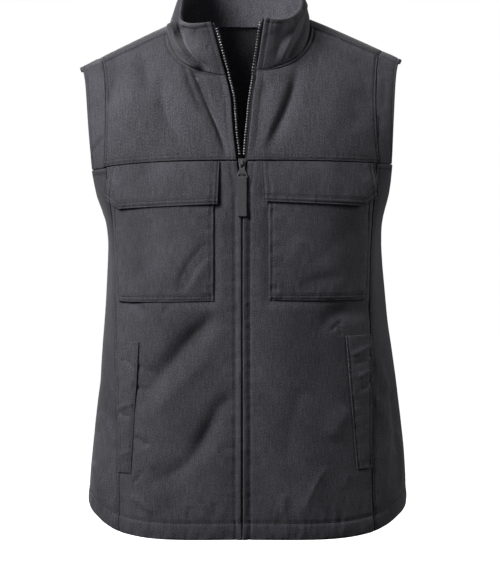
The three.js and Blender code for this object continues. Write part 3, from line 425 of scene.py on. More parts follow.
# Finer folds, by the lines that they follow in the photograph, downwards, in its pixels.
# Each row: height in mm, half width on the line's left and right in pixels, points of the line.
FOLD_LINES = {
    "yoke": (
        (-6, 2.6, 4, (190, 62), (196.5, 79), (201, 90), (208, 106), (216, 124), (221, 137),
         (226, 152), (231, 166)),
        (-3.2, 1.5, 2.2, (194, 70), (198.5, 82), (203, 94), (210, 110), (217, 127), (223, 143)),
        (2, 6, 5, (184, 66), (193, 92), (205, 122), (214, 150), (219, 164)),
        (-3, 2.2, 3.4, (184, 62), (188.8, 80), (193, 92), (198, 104), (204, 120)),
        (-5, 7, 5, (158, 76), (162, 92), (163, 104.6), (167, 116), (175, 131), (184, 152)),
        (-2.6, 6, 6, (144, 46), (141.6, 55), (145.5, 71), (147, 92)),
        (-3, 6, 5, (117, 56), (113, 78), (112.3, 97), (115, 116)),
        (2.6, 8, 8, (131, 60), (130, 85), (134, 115)),
        (-1, 1.8, 1.8, (210, 81), (218, 86), (227, 92)),
        (-1, 1.8, 1.8, (211, 92), (226, 101)),
        (-0.8, 1.8, 1.8, (216, 103), (229, 110)),
        (-4.2, 7, 9, (299, 58), (296, 80), (291, 99), (284, 114), (277, 126), (271, 139), (262, 156)),
        (2.2, 5, 4, (290, 76), (284, 98), (274, 120), (266, 138), (258, 154)),
        (1.6, 1.6, 2.2, (335, 35), (343, 48), (350, 59)),
        (-2, 7, 7, (319, 36), (318, 60), (315, 88)),
        (-1.8, 6, 6, (355, 56), (363, 80), (367, 100), (371, 122)),
        (1.4, 8, 8, (338, 70), (336, 100), (338, 135)),
        (-2.6, 6, 6, (268, 78), (260, 100), (256, 124), (253, 150)),
        (-0.9, 1.8, 1.8, (251, 77), (266, 73)),
        (-0.8, 1.8, 1.8, (250, 85), (262, 82)),
        (-0.7, 1.8, 1.8, (249, 94), (259, 91)),
    ),
    "front": (
        (-3.6, 9, 10, (219, 310), (205, 325), (190, 338), (176, 356), (162, 374), (149, 392),
         (135, 420)),
        (2, 8, 8, (212, 352), (192, 374.7), (160, 407), (146, 424)),
        (-3.6, 8, 9, (240, 395), (220, 406.6), (212, 422.6), (201, 441.7), (188.5, 462.5), (169.3, 475),
         (148.6, 484.8), (134, 497)),
        (-1.2, 4, 4, (129, 302), (140, 308), (151, 312)),
        (-1.8, 4, 4, (173, 302), (166, 310), (163, 318)),
        (-1.8, 3.2, 3.2, (137, 365), (145, 370), (153, 375)),
        (-2.2, 2.4, 2.4, (135, 387), (149, 391)),
        (-3, 2.4, 2.4, (135, 436), (142, 442), (151, 447)),
        (2.2, 5, 5, (141, 447), (148, 458), (157, 471)),
        (-2.4, 2, 2, (141, 470), (139, 477), (133, 484)),
        (2.2, 3, 3, (131, 495), (143, 504), (157, 515)),
        (-1.2, 3, 3, (215, 503), (213, 521)),
        (-1.2, 3, 3, (191, 506), (188, 521)),
        (0.9, 3, 3, (203, 504), (201, 520)),
        (-2, 6, 8, (374, 306), (350, 309), (335.7, 313), (323, 325), (315, 338)),
        (-2, 2, 2, (343, 321), (336, 326), (329, 332)),
        (-1.8, 1.6, 1.6, (339, 326), (341, 337)),
        (2.6, 10, 10, (350, 410), (338, 424), (327, 442)),
        (1.1, 1.3, 2.2, (325.5, 466), (319, 477), (313.4, 486.4), (308, 498), (303, 511)),
        (0.7, 3, 3, (349, 473), (345, 482), (341, 492)),
        (1.2, 4, 4, (286, 493), (283, 508), (281, 519)),
        (-1.8, 9, 9, (302, 385), (291, 430), (285, 470)),
    ),
    "side": (
        (3, 2, 3, (376, 358), (381, 376), (388, 398)),
        (3, 2, 3, (376, 396), (383, 416), (392, 438)),
        (2.4, 2.4, 3, (387, 440), (385, 470), (381, 508)),
        (2.6, 1.8, 1.8, (397, 428), (399, 458), (400, 492)),
        (-3.2, 3, 3, (391, 388), (395, 420), (396, 456)),
        (2.4, 2, 2.4, (101, 412), (107, 428), (115, 448)),
        (-2.8, 3, 3, (98, 424), (103, 455), (106, 486)),
        (1.8, 3, 3, (95, 462), (99, 496)),
    ),
    "pocket": (
        (-6.2, 5, 8, (214, 243), (205, 250), (196, 260), (190, 270), (184, 283), (180, 296)),
        (2.8, 5, 5, (214, 258), (203, 268), (195, 280), (189, 294)),
        (-1.8, 6, 6, (116, 241), (123, 257), (133, 272), (152, 286)),
        (-1.1, 9, 10, (358, 228), (338, 240), (324, 253), (306, 270)),
        (1.4, 7, 7, (301, 238), (292, 256), (287, 270)),
        (-1.8, 7, 7, (298, 289), (320, 280), (347, 275)),
    ),
    "flap": (
        (-1.3, 5, 5, (145, 164), (147, 200)),
        (1, 5, 5, (168, 162), (170, 202)),
        (-1, 4, 4, (186, 163), (184, 201)),
        (-1.3, 5, 5, (318, 163), (321, 202)),
        (1, 5, 5, (300, 162), (299, 200)),
        (-1, 5, 5, (340, 165), (342, 201)),
    ),
    "welt": (
        (1.9, 2.4, 2.4, (374, 345), (362, 350), (349, 357)),
        (-1.6, 2.4, 2.4, (372, 357), (352, 365)),
        (1.9, 2.4, 2.4, (370, 370), (356, 378)),
        (-1.6, 2.4, 2.4, (373, 383), (358, 391)),
        (2, 2, 2, (135, 403), (126, 406), (115, 411)),
        (-2, 2.4, 2.4, (118, 414), (132, 419)),
        (-2, 2, 2, (123, 358), (135, 370)),
        (1.8, 2, 2, (131, 451), (119, 456)),
    ),
    "band": (
        (-1.7, 1.6, 2.4, (104, 136), (97, 145), (90, 155)),
        (1, 3, 3, (95, 92), (93, 120)),
        (-1.2, 3, 3, (386, 78), (383, 112)),
        (-1.4, 2.4, 2.4, (379, 116), (377, 142)),
    ),
    "collar": (
        (8, 4.5, 1.5, (171, 20), (173.5, 30.5), (179, 44.5), (186, 53), (195.5, 62.5), (203, 70),
         (212, 78)),
        (-7.5, 1.5, 5, (177, 20), (181.5, 39), (187.5, 49.5), (191, 55), (199.7, 64), (207, 72),
         (216, 79)),
        (3.2, 2, 2, (187, 36), (193, 52), (199.5, 60), (207, 67)),
        (-1.6, 3, 3, (196, 28), (194, 38), (197, 50)),
        (-1.6, 2.4, 2.4, (216, 36), (206, 52)),
        (3.4, 3.2, 2, (310, -10), (304, 10), (296, 26), (287, 46), (279, 68)),
        (-3.4, 6, 5, (300, 14), (288, 30), (280, 46), (275, 66)),
        (-3.6, 2.6, 4, (309, 14), (301, 34), (292, 52), (283, 72)),
        (-1.4, 1.5, 1.5, (284, 13), (291, 27)),
        (-1.4, 1.5, 1.5, (289, 8), (297, 23)),
        (-1.4, 1.5, 1.5, (295, 4), (301, 17)),
    ),
}
LINE_POINTS, LINE_POWER, LINE_REACH = 25, 1.6, 3
LINE_START, LINE_END = (0, 0.12), (0.7, 1)
CREASE_CALM = (4, 16)  # distances from the zip over which the fold lines begin


def crease_at(p, lines):
    """Height of fold lines at points that the photograph shows."""
    px, py = seen(p)
    total = np.zeros(px.shape)
    for height, left, right, *points in lines:
        points = np.array(points, float)
        run = lengths(points)
        x, y = (between(run, c, np.linspace(0, run[-1], LINE_POINTS)) for c in points.T)
        reach = LINE_REACH * max(left, right)
        near = (px > x.min() - reach) & (px < x.max() + reach)
        near &= (py > y.min() - reach) & (py < y.max() + reach)
        qx, qy = px[near][:, None], py[near][:, None]
        dx, dy = np.diff(x), np.diff(y)
        s = np.clip(((qx - x[:-1]) * dx + (qy - y[:-1]) * dy) / (dx * dx + dy * dy), 0, 1)
        ex, ey = qx - x[:-1] - s * dx, qy - y[:-1] - s * dy
        far = np.hypot(ex, ey)
        k = far.argmin(1)
        row = np.arange(len(k))
        on_left = (dx * ey - dy * ex)[row, k] > 0
        part = (k + s[row, k]) / len(dx)
        ends = smoothstep(part, *LINE_START) * (1 - smoothstep(part, *LINE_END))
        width = np.where(on_left, left, right)
        total[near] += height * ends * np.exp(-((far[row, k] / width) ** LINE_POWER))
    return total


# Where each piece of cloth lies: place(u, v) with u across and v up
def front_panel_place(side):
    def place(u, v):
        across = lambda z: side.sign * lerp(zip_edge(side, z), panel_seam(side, z) - SEAM_HALF, u)
        upto = lambda x: lerp(hem_z(turn_at(x, HEM["z"][0])), yoke_z(side, x) - SEAM_HALF, v)
        z = upto(across(upto(across(lerp(HEM["z"][0], YOKE_Z, v)))))
        return front_at(across(z), z)

    return place


# Parts of the yoke's height: the neck corner, where neck stitches and full wall begin, the curved foot
YOKE_CORNER = 5 / 12
NECK_ROW_FROM, FULL_WALL_FROM, YOKE_FOOT = YOKE_CORNER + 0.02, YOKE_CORNER + 0.1, 0.1


def front_yoke_place(side):
    start = front_turn(side)
    neck_x, neck_level, _ = neck_seam(side, start)
    neck_z = float(height_at(neck_x, neck_level))
    corner_x = float(band_seam(side, ARMHOLE_CORNER))
    foot = level_at(corner_x, yoke_z(side, corner_x) + YOKE_GAP)

    def place(u, v):
        z = lerp(YOKE_Z + YOKE_GAP, neck_z, np.minimum(v / YOKE_CORNER, 1))
        zip_x = side.sign * zip_edge(side, z)
        turn = lerp(start, seam_turn(side), np.maximum(v - YOKE_CORNER, 0) / (1 - YOKE_CORNER))
        round_x, round_level, _ = neck_seam(side, turn)
        from_x = np.where(v > YOKE_CORNER, round_x, zip_x)
        from_level = np.where(v > YOKE_CORNER, round_level, level_at(zip_x, z))
        level = lerp(from_level, lerp(foot, RIDGE - SHOULDER_SEAM, v), u)
        x = lerp(from_x, side.sign * (band_seam(side, level) - SEAM_HALF), u)
        seam = level_at(x, yoke_z(side, x) + YOKE_GAP)
        low = lerp(level_at(side.sign * zip_edge(side, YOKE_Z), YOKE_Z), foot, u)
        return on_front(x, level + (seam - low) * (1 - smoothstep(v, 0, YOKE_FOOT)))

    return place


def band_place(side, behind):
    top = RIDGE + SHOULDER_SEAM - 2 * SEAM_HALF if behind else RIDGE - SHOULDER_SEAM

    def foot(x):
        if behind:
            return np.full(np.shape(x), ARMHOLE_CORNER + SEAM_HALF)
        return level_at(x, yoke_z(side, x) + SEAM_HALF)

    def place(u, v):
        near = lerp(foot(armhole_x(side, ARMHOLE_CORNER) + 0 * v), top, v)
        x = lerp(band_seam(side, near) + 2 * SEAM_HALF, armhole_x(side, near), u)
        return (on_back if behind else on_front)(side.sign * x, lerp(foot(x), top, v))

    return place


SIDE_COLUMNS = 13


def side_panel_place(side):
    sign = side.sign
    corner_x = float(armhole_x(side, ARMHOLE_CORNER))
    corner_level = level_at(corner_x, yoke_z(side, corner_x) - SEAM_HALF)
    front = dict(turn=turn_at(sign * corner_x, corner_level), level=corner_level)
    back_level = ARMHOLE_CORNER - SEAM_HALF
    back = dict(turn=2 - turn_at(sign * corner_x, ARMHOLE_CORNER), level=back_level)

    def front_seam(level):
        z = height_at(PANEL_SEAM[side.name][-1], level)
        return turn_at(sign * (panel_seam(side, z) + SEAM_HALF), level)

    def behind_seam(level):
        return 2 - turn_at(sign * (back_seam(side, level) + SEAM_HALF), level)

    start_x = float(panel_seam(side, YOKE_Z)) + SEAM_HALF
    start_level = level_at(start_x, yoke_z(side, start_x) - SEAM_HALF)
    start_turn, end_turn = front_seam(start_level), behind_seam(back_level)

    def upper(u):
        k = u * SIDE_COLUMNS
        rest = SIDE_COLUMNS - 1 - k
        middle = lerp(front["turn"], back["turn"], (k - 1) / (SIDE_COLUMNS - 2))
        ahead = middle < 1
        from_turn = np.where(ahead, front["turn"], back["turn"])
        from_level = np.where(ahead, front["level"], back["level"])
        rise = np.abs((middle - 1) / (from_turn - 1)) ** ARMPIT_POWER
        turn = np.where(k <= 1, lerp(start_turn, front["turn"], k), middle)
        turn = np.where(rest <= 0, lerp(back["turn"], end_turn, -rest), turn)
        level = np.where(k <= 1, lerp(start_level, front["level"], k), lerp(ARMPIT, from_level, rise))
        return turn, np.where(rest <= 0, back["level"], level)

    def place(u, v):
        turn, level = upper(u)
        part = (turn - start_turn) / (end_turn - start_turn)
        low = HEM["z"][0]
        foot = hem_z(lerp(front_seam(low), behind_seam(low), part))
        level = lerp(foot, level, v)
        return sign * lerp(front_seam(level), behind_seam(level), part), level

    return place


def back_edge(side, level):
    return back_seam(side, level) - SEAM_HALF


def back_lower_place(u, v):
    across = 2 * u - 1
    part = np.abs(across)
    low = HEM["z"][0]
    around, level = 0, 0
    neck_level = float(neck_seam(LEFT, 180)[1])
    for side in SIDES:
        here = sign_of(across) == side.sign
        edge = back_edge(side, low)
        foot = hem_z(2 - turn_at(side.sign * part * edge, low))
        outermost = lerp(hem_z(2 - turn_at(side.sign * edge, low)), STRAP_LEVEL, v)
        top = lerp(neck_level, STRAP_LEVEL, part)
        a, b = on_back(across * back_edge(side, outermost), lerp(foot, top, v))
        around, level = around + here * a, level + here * b
    return around, level


def strap_place(side):
    seam_level = RIDGE + SHOULDER_SEAM - SHOULDER_GAP

    def place(u, v):
        x, level, front = neck_seam(side, lerp(180, seam_turn(side), v))
        start = np.where(front, np.minimum(2 * RIDGE - level, seam_level), level)
        end = lerp(STRAP_LEVEL, seam_level, v)
        return on_back(lerp(x, side.sign * back_edge(side, end), u), lerp(start, end, u))

    return place


def pocket_place(side):
    p = POCKET[side.name]

    def place(u, v):
        x = side.sign * lerp(p["inner"], lerp(p["outer_foot"], p["outer_top"], v), u)
        return front_at(x, lerp(lerp(p["foot"], p["foot_outer"], u), p["top"], v))

    return place


def flap_drop(side, u, v):
    f = FLAP[side.name]
    corner = f["outer"] - FLAP_CUT[0]
    x = lerp(lerp(f["inner_foot"], f["inner"], v), f["outer"], u)
    top = yoke_z(side, x) - 2 * SEAM_HALF
    cut = FLAP_CUT[1] * np.maximum(x - corner, 0) / FLAP_CUT[0]
    foot = lerp(f["foot"], f["foot_outer"], (x - f["inner"]) / (corner - f["inner"])) + cut
    return x, top, lerp(foot, top, v)


def flap_place(side):
    def place(u, v):
        x, _, z = flap_drop(side, u, v)
        return front_at(side.sign * x, z)

    return place


WELT_GAP = 0.6  # between a welt and the side seam


def welt_place(side):
    w = WELT[side.name]

    def place(u, v):
        z = lerp(w["foot"], w["top"], v)
        x = lerp(lerp(w["inner_foot"], w["inner_top"], v), panel_seam(side, z) - WELT_GAP, u)
        return front_at(side.sign * x, z)

    return place


def collar_point(side, turn, rise):
    x, level, front = neck_seam(side, turn)
    foot = body(np.where(front, on_front(x, level)[0], on_back(x, level)[0]), level)
    top = [along(COLLAR_TOP[side.name], "turn", c, turn) for c in ("x", "y", "z", "roll")]
    upper = np.stack([side.sign * top[0], top[1], top[2]], -1)
    angle = np.radians(turn)
    out = np.stack([side.sign * np.sin(angle), -np.cos(angle), 0 * angle], -1)
    r = np.asarray(rise)[..., None]
    return lerp(foot, upper, r) + out * (top[3][..., None] * np.sin(r * 2 * np.pi))


def collar_normal(side, turn, rise):
    step, climb, nape = 1.5, 0.02, 179.9
    low = np.maximum(turn - step, front_turn(side))
    high = np.minimum(turn + step, 180)
    across = collar_point(side, high, rise) - collar_point(side, low, rise)
    up = collar_point(side, turn, rise + climb) - collar_point(side, turn, rise - climb)
    n = np.cross(across, up) * side.sign
    n[..., 0] = np.where(turn > nape, 0, n[..., 0])
    return unit(n)


# Grids: distances of the first points from an edge
RIM_STEPS = (0, 0.25, 0.7, 1.3, 2.1, 3.1, 4.4)


def spacing(length, step):
    """Parts of a length with a point every step, closer together beside both ends."""
    rim = np.array(RIM_STEPS)
    middle = np.linspace(rim[-1], length - rim[-1], max(int(round((length - 2 * rim[-1]) / step)), 2) + 1)
    return np.concatenate([rim[:-1], middle, (length - rim[:-1])[::-1]]) / length


class Grid:
    """A piece of cloth as a grid: base points, outward normals and distances from its four edges."""

    def __init__(self, base, normal, u, v):
        self.u, self.v = u, v
        self.base, self.normal = base, normal
        self.across, self.up = lengths(base, 0), lengths(base, 1)
        self.off = {
            "inner": self.across,
            "outer": self.across[-1:] - self.across,
            "foot": self.up,
            "top": self.up[:, -1:] - self.up,
        }
        self.height = np.zeros(base.shape[:2])
        self.points = base
        self.open = ()

    @classmethod
    def on_body(cls, place, width, tall, step, lines=()):
        u, v = spacing(width, step), spacing(tall, step)
        uu, vv = np.meshgrid(u, v, indexing="ij")
        around, level = place(uu, vv)
        base = body(around, level)
        normal = body_normal(around, level)
        grid = cls(base + normal * fold_at(base)[..., None], normal, u, v)
        grid.level = level
        grid.height = crease_at(base, lines) * smoothstep(from_zip(base), *CREASE_CALM)
        return grid

    def set(self):
        self.points = self.base + self.normal * self.height[..., None]

    def line(self, edge, distance, start=0.0, end=1.0):
        """Points and normals along an edge at a distance from it, between two parts of its run."""
        along_rows = edge in ("inner", "outer")
        off, p, n = self.off[edge], self.points, self.normal
        if not along_rows:
            off, p, n = (a.swapaxes(0, 1) for a in (off, p, n))
        if edge in ("outer", "top"):
            off, p, n = off[::-1], p[::-1], n[::-1]
        i = np.clip((off < distance).sum(0) - 1, 0, off.shape[0] - 2)
        k = np.arange(off.shape[1])
        t = (distance - off[i, k]) / np.maximum(off[i + 1, k] - off[i, k], 1e-6)
        t = np.clip(t, 0, 1)[:, None]
        run = self.v if along_rows else self.u
        keep = (run >= start) & (run <= end)
        return lerp(p[i, k], p[i + 1, k], t)[keep], unit(lerp(n[i, k], n[i + 1, k], t))[keep]


def rim(d, radius, drop):
    t = np.clip(d / radius, 0, 1)
    return -drop * (1 - np.sqrt(np.maximum(1 - (1 - t) ** 2, 0)))


def groove(d, at, depth=0.55, width=1.2):
    return -depth * np.exp(-(((d - at) / width) ** 2))


# Sizes of the puckers beside a stitch line and of the soft waves of a whole piece
PUCKER = dict(past=7, long=(7.0, 22.0), short=(3.6, 15.0), part=0.6, begin=(0.5, 4), fade=(0.5, 2.2))
WAVE = dict(long=(55, 75), short=(24, 38), part=0.5, begin=25)
CROWN_BEGIN = 18


def two_noises(x, y, seed, other_seed, size):
    (ax, ay), (bx, by) = size["long"], size["short"]
    return noise(x / ax, y / ay, seed) + size["part"] * noise(x / bx, y / by, other_seed)


def dress(grid, edges, seed, crown=0.8, wave=0.5, deep=1.1):
    """Rounds the edges, sinks the stitch lines and puckers the cloth beside them.
    edges: edge -> (radius, drop, stitch distances, pucker height)."""
    grid.edges = edges
    h = np.zeros(grid.base.shape[:2])
    near = np.full(h.shape, np.inf)
    for n, (edge, (radius, drop, sewn, pucker)) in enumerate(edges.items()):
        d = grid.off[edge]
        run = grid.up if edge in ("inner", "outer") else grid.across
        near = np.minimum(near, d)
        h += rim(d, radius, drop)
        for at in sewn:
            h += groove(d, at, deep)
        reach = max(sewn, default=0) + PUCKER["past"]
        fine = two_noises(run, d, seed + 31 * n, seed + 31 * n + 7, PUCKER)
        ends = [reach * k for k in PUCKER["fade"]]
        h += pucker * fine * smoothstep(d, *PUCKER["begin"]) * (1 - smoothstep(d, *ends))
    h += crown * (1 - np.exp(-near / CROWN_BEGIN))
    soft = two_noises(grid.across, grid.up, seed + 3, seed + 5, WAVE)
    h += wave * soft * (1 - np.exp(-near / WAVE["begin"]))
    grid.height = grid.height + h


# Padding: a coarse copy of the cloth, held at its seams, swells as Blender cloth under pressure
SETTLE = dict(step=9.0, frames=20, pressure=4.0, growth=0.006, hold=0.04, cap=3.0, smooth=5)


def smoothed(a, axis):
    """Values averaged with their neighbours along one axis."""
    n = np.arange(a.shape[axis])
    before, after = np.take(a, np.maximum(n - 1, 0), axis), np.take(a, np.minimum(n + 1, n[-1]), axis)
    return (2 * a + before + after) / 4


def settle(grid, cap=SETTLE["cap"], loose=()):
    """Adds the height that the simulated cloth gains between its seams."""
    nu, nv = grid.base.shape[:2]

    def every(run):
        count = max(int(run[-1] / SETTLE["step"]), 4)
        return np.unique(np.abs(run[None] - np.linspace(0, run[-1], count + 1)[:, None]).argmin(1))

    iu, iv = every(grid.across[:, nv // 2]), every(grid.up[nu // 2])
    pick = np.ix_(iu, iv)
    normal = grid.normal[pick].reshape(-1, 3)
    start = grid.base[pick].reshape(-1, 3)
    cu, cv = len(iu), len(iv)
    faces = shell_faces(cu, cv)["outer"]
    corners = start[faces]
    turned = np.cross(corners[:, 1] - corners[:, 0], corners[:, 3] - corners[:, 0])
    if (turned * normal[faces[:, 0]]).sum() < 0:
        faces = faces[:, ::-1]
    me = bpy.data.meshes.new("settling")
    me.from_pydata((start * MM).tolist(), [], faces.tolist())
    ob = linked("settling", me)
    held = np.full((cu, cv), SETTLE["hold"])
    sewn = dict(inner=np.s_[0, :], outer=np.s_[-1, :], foot=np.s_[:, 0], top=np.s_[:, -1])
    for edge, where in sewn.items():
        held[where] = np.maximum(held[where], SETTLE["hold"] if edge in loose else 1.0)
    group = ob.vertex_groups.new(name="held")
    for k, weight in enumerate(held.ravel()):
        group.add([k], float(weight), "REPLACE")
    mod = ob.modifiers.new("cloth", "CLOTH")
    cloth = mod.settings
    cloth.quality, cloth.mass = 5, 0.3
    cloth.tension_stiffness, cloth.compression_stiffness, cloth.shear_stiffness = 15, 15, 5
    cloth.bending_stiffness, cloth.air_damping = 0.6, 2.0
    cloth.vertex_group_mass = "held"
    cloth.use_pressure, cloth.uniform_pressure_force = True, SETTLE["pressure"]
    cloth.shrink_min = -SETTLE["growth"]
    cloth.effector_weights.gravity = 0
    mod.point_cache.frame_start, mod.point_cache.frame_end = 1, SETTLE["frames"]
    for frame_number in range(1, SETTLE["frames"] + 1):
        SCENE.frame_set(frame_number)
    result = ob.evaluated_get(bpy.context.evaluated_depsgraph_get()).data
    end = np.empty(3 * len(start), np.float32)
    result.vertices.foreach_get("co", end)
    bpy.data.objects.remove(ob)
    SCENE.frame_set(1)
    gain = ((end.reshape(-1, 3) / MM - start) * normal).sum(1).reshape(cu, cv)
    gain = cap * np.tanh(gain / cap)
    for _ in range(SETTLE["smooth"]):
        gain = smoothed(smoothed(gain, 0), 1)
    across, up = grid.across[:, nv // 2], grid.up[nu // 2]
    fine = np.stack([between(across[iu], column, across) for column in gain.T], 1)
    grid.height = grid.height + np.stack([between(up[iv], row, up) for row in fine])


# Meshes
def linked(name, data):
    ob = bpy.data.objects.new(name, data)
    SCENE.collection.objects.link(ob)
    return ob


def shell_faces(nu, nv, offset=0):
    at = lambda layer, i, j: offset + layer * nu * nv + i * nv + j
    i, j = [a.ravel() for a in np.meshgrid(np.arange(nu - 1), np.arange(nv - 1), indexing="ij")]
    outer = np.stack([at(0, i, j), at(0, i + 1, j), at(0, i + 1, j + 1), at(0, i, j + 1)], 1)
    inner = np.stack([at(1, i, j), at(1, i, j + 1), at(1, i + 1, j + 1), at(1, i + 1, j)], 1)
    a, b, e = np.arange(nu - 1), np.arange(nv - 1), nu - 1
    foot = np.stack([at(0, a, 0), at(1, a, 0), at(1, a + 1, 0), at(0, a + 1, 0)], 1)
    top = np.stack([at(0, a, nv - 1), at(0, a + 1, nv - 1), at(1, a + 1, nv - 1), at(1, a, nv - 1)], 1)
    start = np.stack([at(0, 0, b), at(0, 0, b + 1), at(1, 0, b + 1), at(1, 0, b)], 1)
    end = np.stack([at(0, e, b), at(1, e, b), at(1, e, b + 1), at(0, e, b + 1)], 1)
    return dict(outer=outer, inner=inner, foot=foot, top=top, start=start, end=end)


def mesh_object(name, points, faces, uv=None, materials=(), inside=None):
    """Object from points in millimetres and quads; inside marks the faces that take the second material."""
    a, b, c, d = [points[faces[:, k]] for k in range(4)]
    volume = (a * np.cross(b, c)).sum() + (a * np.cross(c, d)).sum()
    if volume < 0:
        faces = faces[:, ::-1]
    me = bpy.data.meshes.new(name)
    me.vertices.add(len(points))
    me.vertices.foreach_set("co", (points * MM).astype(np.float32).ravel())
    me.loops.add(faces.size)
    me.loops.foreach_set("vertex_index", faces.astype(np.int32).ravel())
    me.polygons.add(len(faces))
    me.polygons.foreach_set("loop_start", np.arange(0, faces.size, faces.shape[1], dtype=np.int32))
    me.polygons.foreach_set("use_smooth", np.ones(len(faces), bool))
    if inside is not None:
        me.polygons.foreach_set("material_index", inside.astype(np.int32))
    me.update(calc_edges=True)
    if uv is not None:
        layer = me.uv_layers.new(name="UVMap")
        layer.data.foreach_set("uv", (uv * MM).astype(np.float32)[faces.ravel()].ravel())
    for m in materials:
        me.materials.append(m)
    return linked(name, me)


SEAM_OVERLAP, OVERLAP_FADE, OPEN_FADE = 1.5, 5, 12
INNER_SINK = 0.25  # part of the outer cloth's dips that the inner cloth follows
CLOSED_ZIP, CLOSING_FADE = (-230, -215), 6  # the two fronts lie close together below these heights
TURNED_FADE = 25


def past_seams(grid, inner, seams):
    """Inner cloth carried past the seams, so that no light shows through them."""
    free = np.ones(grid.base.shape[:2])
    for edge in grid.open:
        free *= smoothstep(grid.off[edge], 0, OPEN_FADE)
    moved = inner.copy()
    for edge in seams:
        axis = 0 if edge in ("inner", "outer") else 1
        first, next_in = (0, 4) if edge in ("inner", "foot") else (-1, -5)
        out = unit(np.take(inner, [first], axis) - np.take(inner, [next_in], axis))
        part = free * (1 - smoothstep(grid.off[edge], 0, OVERLAP_FADE))
        moved += out * (SEAM_OVERLAP * part)[..., None]
    return moved


def two_layers(grid, wall, turned_in=0.0, closing=0.0, seams=()):
    inner = grid.base + grid.normal * (np.minimum(grid.height, 0) * INNER_SINK - wall)[..., None]
    inner = past_seams(grid, inner, seams)
    if closing:
        near = 1 - smoothstep(grid.off["inner"], 0, CLOSING_FADE)
        near = near * (1 - smoothstep(grid.base[..., 2], *CLOSED_ZIP))
        inner[..., 0] -= np.sign(inner[..., 0]) * closing * near
    if turned_in:
        down = unit(grid.base[:, :1] - grid.base[:, 6:7])
        inner = inner + down * (turned_in * (1 - smoothstep(grid.up, 0, TURNED_FADE)))[..., None]
    return np.concatenate([grid.points.reshape(-1, 3), inner.reshape(-1, 3)])


# Shift of the grain across, so that neighbouring pieces differ
GRAIN_SHIFT = dict(front_yoke=300, armhole_band_front=500, armhole_band_back=500, side_panel=700,
                   back=900, collar=100)


def grid_uv(grid, shift=0, upright=False):
    """Across and up in millimetres, so that the grain runs up the cloth."""
    middle = grid.across[:, grid.across.shape[1] // 2]
    across, up = np.broadcast_to(middle[:, None], grid.up.shape), grid.up
    if upright:
        across, up = grid.base[..., 0], grid.level
    uv = np.stack([across + shift, up], -1).reshape(-1, 2)
    return np.concatenate([uv, uv])


def cloth_object(name, grid, wall, shift=0, turned_in=0.0, closing=0.0, upright=False, seams=()):
    nu, nv = grid.base.shape[:2]
    parts = shell_faces(nu, nv)
    faces = np.concatenate(list(parts.values()))
    inside = np.concatenate([np.full(len(f), k == "inner") for k, f in parts.items()])
    points = two_layers(grid, wall, turned_in, closing, seams)
    cloths = (MAT["canvas"], MAT["inside"])
    return mesh_object(name, points, faces, grid_uv(grid, shift, upright), cloths, inside)


# Stitches: short raised threads in a row
STITCH_PITCH, STITCH_LONG, STITCH_THICK = 3.3, 2.5, 0.45
STITCH_SIDES, STITCH_FLAT = 6, 0.8
STITCH_RINGS = (  # part of the length, part of the thickness, lift
    (-0.5, 0.3, -0.1), (-0.34, 0.9, 0.12), (0, 1.0, 0.2), (0.34, 0.9, 0.12), (0.5, 0.3, -0.1))
STITCH_CAPS = ((0, 1, 2, 3), (3, 4, 5, 0))
thread_runs = {}


def ring_faces(count, nr, nc, caps):
    """Quads of separate closed tubes, each of nr rings of nc points; caps are the quads of an end."""
    k, r, c = [x.ravel() for x in np.meshgrid(*map(np.arange, (count, nr - 1, nc)), indexing="ij")]
    at = lambda r, c: (k * nr + r) * nc + c % nc
    faces = [np.stack([at(r, c), at(r, c + 1), at(r + 1, c + 1), at(r + 1, c)], 1)]
    base = np.arange(count) * nr * nc
    for ring, way in ((0, -1), (nr - 1, 1)):
        faces += [np.stack([base + ring * nc + h for h in cap[::way]], 1) for cap in caps]
    return np.concatenate(faces)


def resample(p, n, pitch):
    run, step = lengths(p), 0.6
    count = max(int(run[-1] / pitch), 1)
    at = (np.arange(count) + 0.5) * run[-1] / count
    ahead = at_lengths(p, run, at + step) - at_lengths(p, run, at - step)
    return at_lengths(p, run, at), unit(at_lengths(n, run, at)), unit(ahead)


def sew(group, grid, edge, distance, start=0.0, end=1.0):
    p, n = grid.line(edge, distance, start, end)
    if len(p) > 3:
        thread_runs.setdefault(group, []).append(resample(p, n, STITCH_PITCH))


def sew_rows(group, grid, edges=("inner", "outer", "foot", "top")):
    for edge in edges:
        for distance in grid.edges[edge][2] if edge in grid.edges else ():
            sew(group, grid, edge, distance)


def thread_object(group):
    centre, normal, tangent = [np.concatenate(x) for x in zip(*thread_runs[group])]
    side = unit(np.cross(tangent, normal))
    angles = np.arange(STITCH_SIDES) * 2 * np.pi / STITCH_SIDES
    rows = []
    for s, r, lift in STITCH_RINGS:
        thick = STITCH_THICK * r
        middle = centre + tangent * (s * STITCH_LONG) + normal * lift
        ring = [middle + normal * (thick * STITCH_FLAT * math.sin(a)) + side * (thick * math.cos(a))
                for a in angles]
        rows.append(np.stack(ring, 1))
    points = np.stack(rows, 1)
    faces = ring_faces(*points.shape[:3], STITCH_CAPS)
    return mesh_object(group, points.reshape(-1, 3), faces, None, (MAT["thread"],))


# Materials
MAT = {}


def new_material(name):
    m = MAT[name] = bpy.data.materials.new(name)
    m.use_nodes = True
    return m.node_tree, m.node_tree.nodes["Principled BSDF"]


def node(nt, kind, **values):
    n = nt.nodes.new(kind)
    for key, value in values.items():
        if hasattr(n, key):
            setattr(n, key, value)
        else:
            n.inputs[key].default_value = value
    return n


